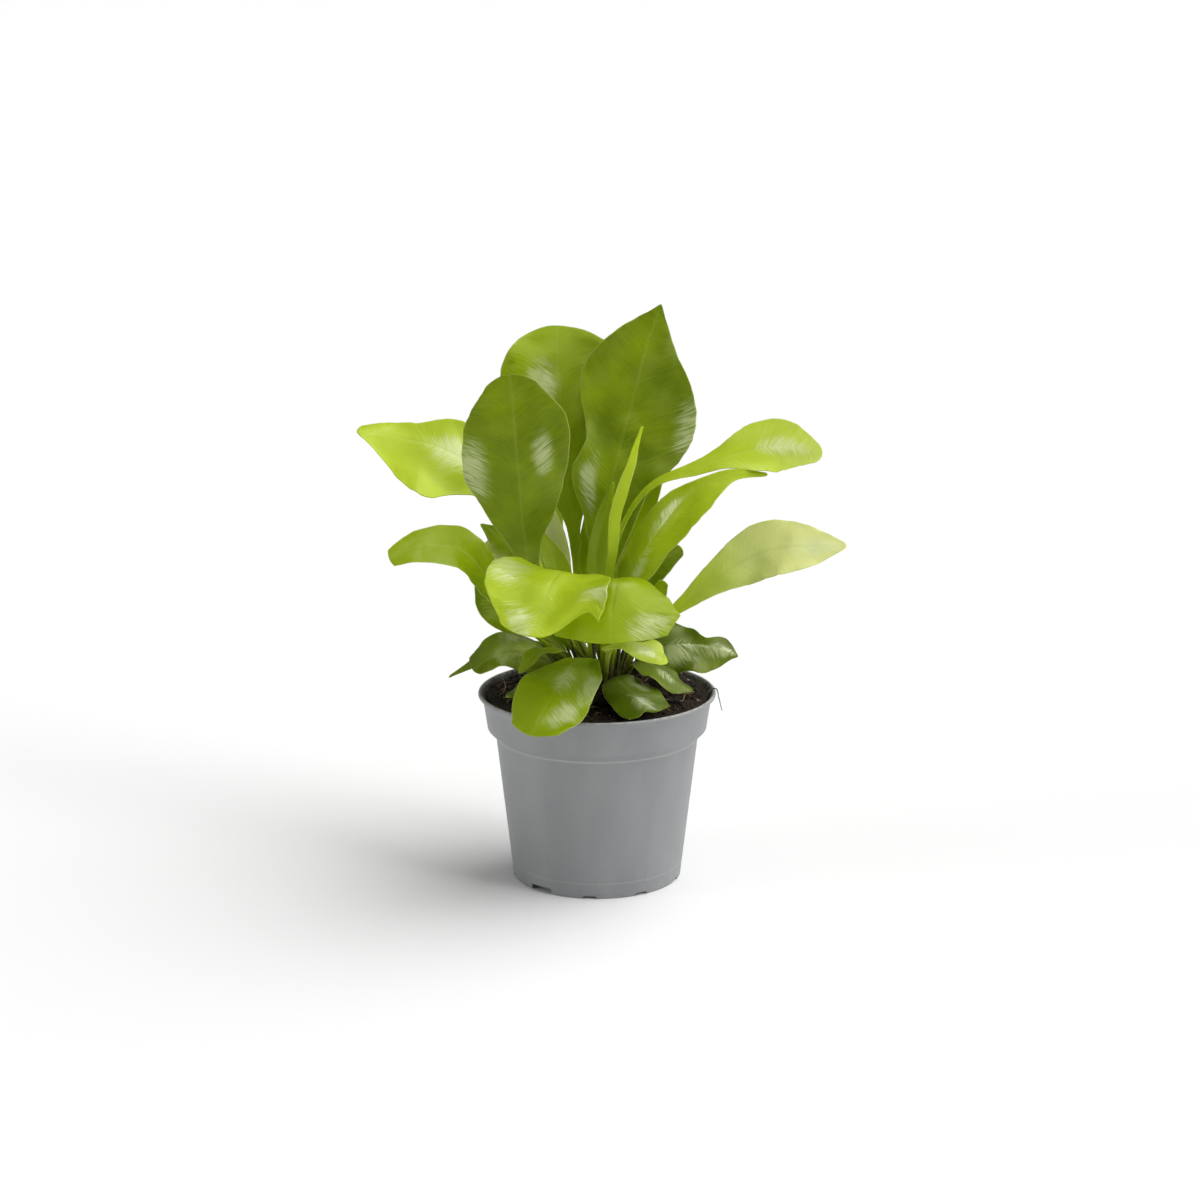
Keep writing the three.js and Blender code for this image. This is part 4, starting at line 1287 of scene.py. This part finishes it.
def frond_tree(settings):
    """A frond from its midrib: a stalk that widens into a cupped, waved and rolled blade, and its skin."""
    t = ShapeTree(
        "Frond", Rows=100, Columns=31, Length=0.2, Heading=0.0, Stalk=0.3, Base_roll=0.0, Tip_roll=0.0,
        Cup=0.2, Wave=0.001, Waves=2.0, Wave_start=0.0, End=0.001, Notch=0.0, Notch_place=0.0,
        Notch_width=1.0, Tone=0.5, Paler=0.0, Seed=1.0,
        Sheen_1=NO_SHEEN, Sheen_2=NO_SHEEN, Sheen_3=NO_SHEEN,
    )
    size = t.sizes
    total, stalk, cup, seed = size["Length"], size["Stalk"], size["Cup"], size["Seed"]

    # u runs from 0 at the root to 1 at the tip, v from -1 to 1 across, and b from 0 to 1 on the blade
    sides = {"Size X": 1.0, "Size Y": 2.0, "Vertices X": size["Rows"], "Vertices Y": size["Columns"]}
    grid = t.node("GeometryNodeMeshGrid", sides)["Mesh"]
    x, y, _ = t.split(t.position())
    form = t.join(closer(t, x + 0.5, ROWS_CLOSER), closer(t, y, COLUMNS_CLOSER), 0.0)
    grid = t.store(grid, "form", form, "FLOAT_VECTOR")
    u, v, _ = t.split(t.named("form", "FLOAT_VECTOR"))
    b = blade_share(u, stalk).clamp()

    curve = t.node("GeometryNodeMeshToCurve", {"Mesh": size["Geometry"]})["Curve"]
    by_share = {"use_all_curves": True, "mode": "FACTOR"}
    left, right = (
        t.node("GeometryNodeSampleCurve", {"Curves": curve, "Value": t.named(side), "Factor": u}, by_share)
        for side in ("left", "right")
    )
    half = t.mix(v > 0.0, left["Value"], right["Value"])
    nicks = t.noise(t.join(u * total + seed, (v > 0.0) * 3.0, 0.0), 150.0, 1.0) - 0.5
    half = half + nicks * (half / NICKED_WIDTH).clamp() * NICKS

    along = left["Tangent"]
    level = t.join(t.sin(size["Heading"]), -t.cos(size["Heading"]), 0.0)
    side = t.vector("NORMALIZE", level - along * t.vector("DOT_PRODUCT", level, along))
    face = t.vector("CROSS_PRODUCT", side, along)
    roll = t.mix(b, size["Base_roll"], size["Tip_roll"]) * u.smooth(0.0, stalk)
    across = side * t.cos(roll) - face * t.sin(roll)
    up = face * t.cos(roll) + side * t.sin(roll)

    width = (half / WAVED_WIDTH).clamp() * b.smooth(0.0, 0.3)
    phase = size["Waves"] * b * (2 * math.pi) + size["Wave_start"]
    ruffle = size["Wave"] * width * abs(v) ** 1.5 * t.sin(phase)
    chart = t.join(u * total + seed, v * half, 0.0)
    swell = (t.noise(chart, 38.0, 1.0) - 0.5) * settings.swell * 2.0
    crinkle = (t.noise(chart, 130.0, 1.0) - 0.5) * (0.15 + abs(v) ** 3.0) * CRINKLES
    raised = ruffle + (swell + crinkle) * width
    from_notch = (v - size["Notch_place"]) / size["Notch_width"]
    cut_back = size["End"] * v * v + size["Notch"] * t.math("EXPONENT", -(from_notch * from_notch))
    sideways = half * t.sin(v * cup) / cup
    lift = half * (1 - t.cos(v * cup)) / cup + raised
    sheet = left["Position"] + across * sideways + up * lift - along * (cut_back * b.smooth(0.5, 1.0))
    grid = t.store(grid, "leaf", t.join(u * total, v * half, half) / MM, "FLOAT_VECTOR")
    grid = t.move(grid, Position=sheet)

    # both faces stand off the sheet and meet along the margins and at the tip
    run, out, wide = t.split(t.named("leaf", "FLOAT_VECTOR") * MM)
    bare = 1 - blade_share(u, stalk).smooth(-0.35, 0.25)
    blade = settings.margin + settings.rib * (1 - abs(v)) ** 3.0
    stem = 2 * settings.stalk * (1 - v * v).clamp() ** 0.5
    to_margin = (wide - abs(out)) / (EDGE_ROUNDING * settings.margin)
    to_tip = (total - run) / (EDGE_ROUNDING * settings.margin)
    closed = (to_margin.clamp() * to_tip.clamp() * (run / settings.stalk).clamp()) ** 0.5
    thick = t.mix(bare, blade * closed, stem * closed)
    normal = t.node("GeometryNodeInputNormal")["Normal"]
    crease = t.math("EXPONENT", -((out / GROOVE_REACH) ** 2.0)) * (1 - bare) * (1 - b * 0.7)
    over = t.move(grid, Offset=normal * (crease * settings.groove - thick / 2))
    under = t.move(grid, Offset=normal * (crease * settings.groove + thick / 2))
    over = t.node("GeometryNodeFlipFaces", {"Mesh": t.store(over, "side", 1.0)})["Mesh"]
    both = t.joined([over, t.store(under, "side", 0.0)])
    made = t.node("GeometryNodeMergeByDistance", {"Geometry": both, "Distance": 1e-6})["Geometry"]

    made = t.store(made, "tone", size["Tone"] + size["Paler"] * b)
    # the spots where a pale sheen is painted into the skin and the coat is glossier
    painted_sheen = 0.0
    for k in (1, 2, 3):
        spot, place, reach = t.split(size[f"Sheen_{k}"])
        far = ((b - spot) / reach) ** 2.0 + ((v - place) / (reach * SHEEN_ACROSS)) ** 2.0
        painted_sheen = t.math("EXPONENT", -far) + painted_sheen
    made = t.store(made, "sheen", painted_sheen.clamp())
    made = t.store(made, "UVMap", t.join(u, v * 0.5 + 0.5, 0.0), "FLOAT2", "CORNER")
    return t.finish(made)


class FERN_OT_fronds(bpy.types.Operator):
    """Grow every frond from its seat in the crown"""

    bl_idname = "fern.fronds"
    bl_label = "Fronds"

    def execute(self, context):
        settings = context.scene.fern_fronds
        leaf = leaf_material(settings)
        tree = frond_tree(settings)
        for number, (name, shape) in enumerate(FRONDS.items()):
            frond = {**PLAIN, **shape}
            midrib, run = midrib_mesh(name, frond, settings.stalk)
            share = SMALL_SHARE if frond["small"] else 1.0
            base_roll, tip_roll = frond["roll"]
            wave, waves, wave_start = frond["wave"]
            notch, notch_place, notch_width = frond["notch"]
            piece = grow(
                "leaf_" + name, midrib, tree, leaf,
                Rows=int(settings.rows * share), Columns=2 * int(settings.columns * share / 2) + 1,
                Length=run, Heading=math.radians(frond["heading"]), Stalk=float(frond["stalk"]),
                Base_roll=math.radians(base_roll), Tip_roll=math.radians(tip_roll),
                Cup=math.radians(frond["cup"]), Wave=wave * MM, Waves=float(waves),
                Wave_start=float(wave_start), End=frond["end"] * MM, Notch=notch * MM,
                Notch_place=float(notch_place), Notch_width=float(notch_width), Tone=float(frond["tone"]),
                Paler=float(frond["paler"]), Seed=number * SEED_STEP,
                **{f"Sheen_{k + 1}": spot for k, spot in enumerate(frond["sheen"])},
            )
            dress(piece, "frond", "frond_" + name)
        return {"FINISHED"}


# ---- rootlets ----
ROOTLETS = {  # in millimetres: the points, and the thickness at the first and at the last
    "root_left": (((-49, -3, 92), (-47.5, -3, 95), (-46, -2.5, 98.5), (-47.5, -2, 103)), 0.7, 0.35),
    "root_right": (
        ((54, -2, 92.5), (57.5, -2, 97), (60, -2.2, 97.2), (61.4, -2.4, 92.5), (63, -2.6, 86)), 0.9, 0.4,
    ),
}
ROOT_SIDES = 8
ROOT_EVERY = 6  # every sixth point of the curve has a ring
ROOT_LUMPS = 0.25  # share by which a root's thickness varies


def tapered_tube(points, thick, thin):
    """A closed, slightly uneven tube along the points that gets thinner towards its end."""
    bm = bmesh.new()
    rings = []
    last = len(points) - 1
    for i, point in enumerate(points):
        ahead = points[min(i + 1, last)] - points[max(i - 1, 0)]
        across = ahead.cross(Vector((0, 1, 0))).normalized()
        up = ahead.cross(across).normalized()
        radius = (thick + (thin - thick) * i / last) / 2
        radius *= 1 + ROOT_LUMPS * noise.noise(point * 900)
        ways = [across * math.cos(a) + up * math.sin(a) for a in angles(ROOT_SIDES)]
        rings.append([bm.verts.new(point + way * radius) for way in ways])
    bridge(bm, rings)
    bm.faces.new(rings[0][::-1])
    bm.faces.new(rings[-1])
    bmesh.ops.recalc_face_normals(bm, faces=bm.faces)
    return bm


class FERN_OT_rootlets(bpy.types.Operator):
    """Add the loose root by the left edge and the one that hangs over the lip"""

    bl_idname = "fern.rootlets"
    bl_label = "Rootlets"

    def execute(self, context):
        pale = earthy_material("root_pale", (0.3, 0.22, 0.12), (0.62, 0.5, 0.34), 500.0, 0.6)
        dull = earthy_material("root_dull", (0.12, 0.12, 0.07), (0.3, 0.3, 0.2), 500.0, 0.6)
        for (name, (points, thick, thin)), skin in zip(ROOTLETS.items(), (pale, dull)):
            line = curve_through([Vector(p) * MM for p in points])[::ROOT_EVERY]
            piece = new_piece(name, tapered_tube(line, thick * MM, thin * MM), skin)
            dress(piece, "rhizome")
        return {"FINISHED"}


# ---- stage ----
LIGHTS = {  # the way to each soft light, its share of the light, its width in degrees, whether gloss alone
    "key": ((0.85, 0.14, 1.2), 1.0, 74, False),
    "left_card": ((-0.96, -0.26, 0.09), 0.42, 36, False),
    "right_box": ((1.0, -0.62, 0.42), 0.24, 17, False),
    "top_box": ((-0.25, -0.3, 1.3), 0.14, 17, True),
    "left_box": ((-1.1, -0.7, 0.75), 0.1, 17, True),
    "back_card": ((0.04, 0.42, 0.9), 0.28, 27, True),
    "front_card": ((-0.12, -0.75, 0.74), 0.24, 44, True),
}
SKY_BLEND = (0.15, 0.7)  # from the walls' light to the ceiling's, as heights on a ball of radius 1
CAMERA_SIDE = 0.0015  # how far the camera stands to the right
FLOOR_REACH = 30.0


class FERN_OT_stage(bpy.types.Operator):
    """Set the camera, the soft studio light and the pale floor"""

    bl_idname = "fern.stage"
    bl_label = "Stage"

    def execute(self, context):
        scene = context.scene
        stage = scene.fern_stage
        camera = add_object("camera", bpy.data.cameras.new("camera"))
        camera.data.lens = stage.lens
        camera.data.sensor_width = 36.0
        camera.data.clip_end = 100.0
        camera.location = (CAMERA_SIDE, -stage.distance, stage.camera_height)
        camera.rotation_euler = (math.pi / 2 - stage.pitch, 0, 0)
        scene.camera = camera

        world = bpy.data.worlds.new("studio")
        world.use_nodes = True
        world.node_tree.nodes.clear()
        g = Graph(world.node_tree)
        height = g.split(g.node("ShaderNodeTexCoord")["Generated"])[2]
        strength = g.mix(height.smooth(*SKY_BLEND), stage.walls, stage.ceiling)
        light = g.node("ShaderNodeBackground", {"Color": (1.0, 1.0, 1.0), "Strength": strength})["Background"]
        g.node("ShaderNodeOutputWorld", {"Surface": light})
        scene.world = world
        scene.view_settings.view_transform = "Standard"

        for name, (way, share, width, gloss_alone) in LIGHTS.items():
            light = add_object(name, bpy.data.lights.new(name, "SUN"))
            light.data.energy = stage.light * share
            light.data.angle = math.radians(width)
            light.rotation_euler = Vector(way).to_track_quat("Z", "Y").to_euler()
            light.visible_diffuse = not gloss_alone
            light.visible_transmission = not gloss_alone

        bm = bmesh.new()
        bmesh.ops.create_grid(bm, x_segments=1, y_segments=1, size=FLOOR_REACH)
        floor = new_piece("stage_floor", bm, floor_material(stage), smooth=False)
        return {"FINISHED"}


# ---- add-on ----
class FERN_PT_build(bpy.types.Panel):
    """Lists what the potted fern is made of"""

    bl_idname = "FERN_PT_build"
    bl_label = "Potted fern"
    bl_space_type = "VIEW_3D"
    bl_region_type = "UI"
    bl_category = "Fern"

    def draw(self, context):
        for operator in OPERATORS:
            self.layout.operator(operator.bl_idname)
        for group in (context.scene.fern_pot, context.scene.fern_fronds, context.scene.fern_stage):
            box = self.layout.box()
            for name in group.__annotations__:
                box.prop(group, name)


SETTINGS = (FernPotSettings, FernFrondSettings, FernStageSettings)
OPERATORS = (FERN_OT_stage, FERN_OT_pot, FERN_OT_soil, FERN_OT_crown, FERN_OT_fronds, FERN_OT_rootlets)


def register():
    for item in (*SETTINGS, *OPERATORS, FERN_PT_build):
        bpy.utils.register_class(item)
    bpy.types.Scene.fern_pot = PointerProperty(type=FernPotSettings)
    bpy.types.Scene.fern_fronds = PointerProperty(type=FernFrondSettings)
    bpy.types.Scene.fern_stage = PointerProperty(type=FernStageSettings)


def unregister():
    for name in ("fern_pot", "fern_fronds", "fern_stage"):
        delattr(bpy.types.Scene, name)
    for item in (FERN_PT_build, *reversed(OPERATORS), *reversed(SETTINGS)):
        bpy.utils.unregister_class(item)


def main():
    """Registers the classes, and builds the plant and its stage."""
    register()
    bpy.ops.fern.stage()
    bpy.ops.fern.pot()
    bpy.ops.fern.soil()
    bpy.ops.fern.crown()
    bpy.ops.fern.fronds()
    bpy.ops.fern.rootlets()


if __name__ == "__main__":
    main()
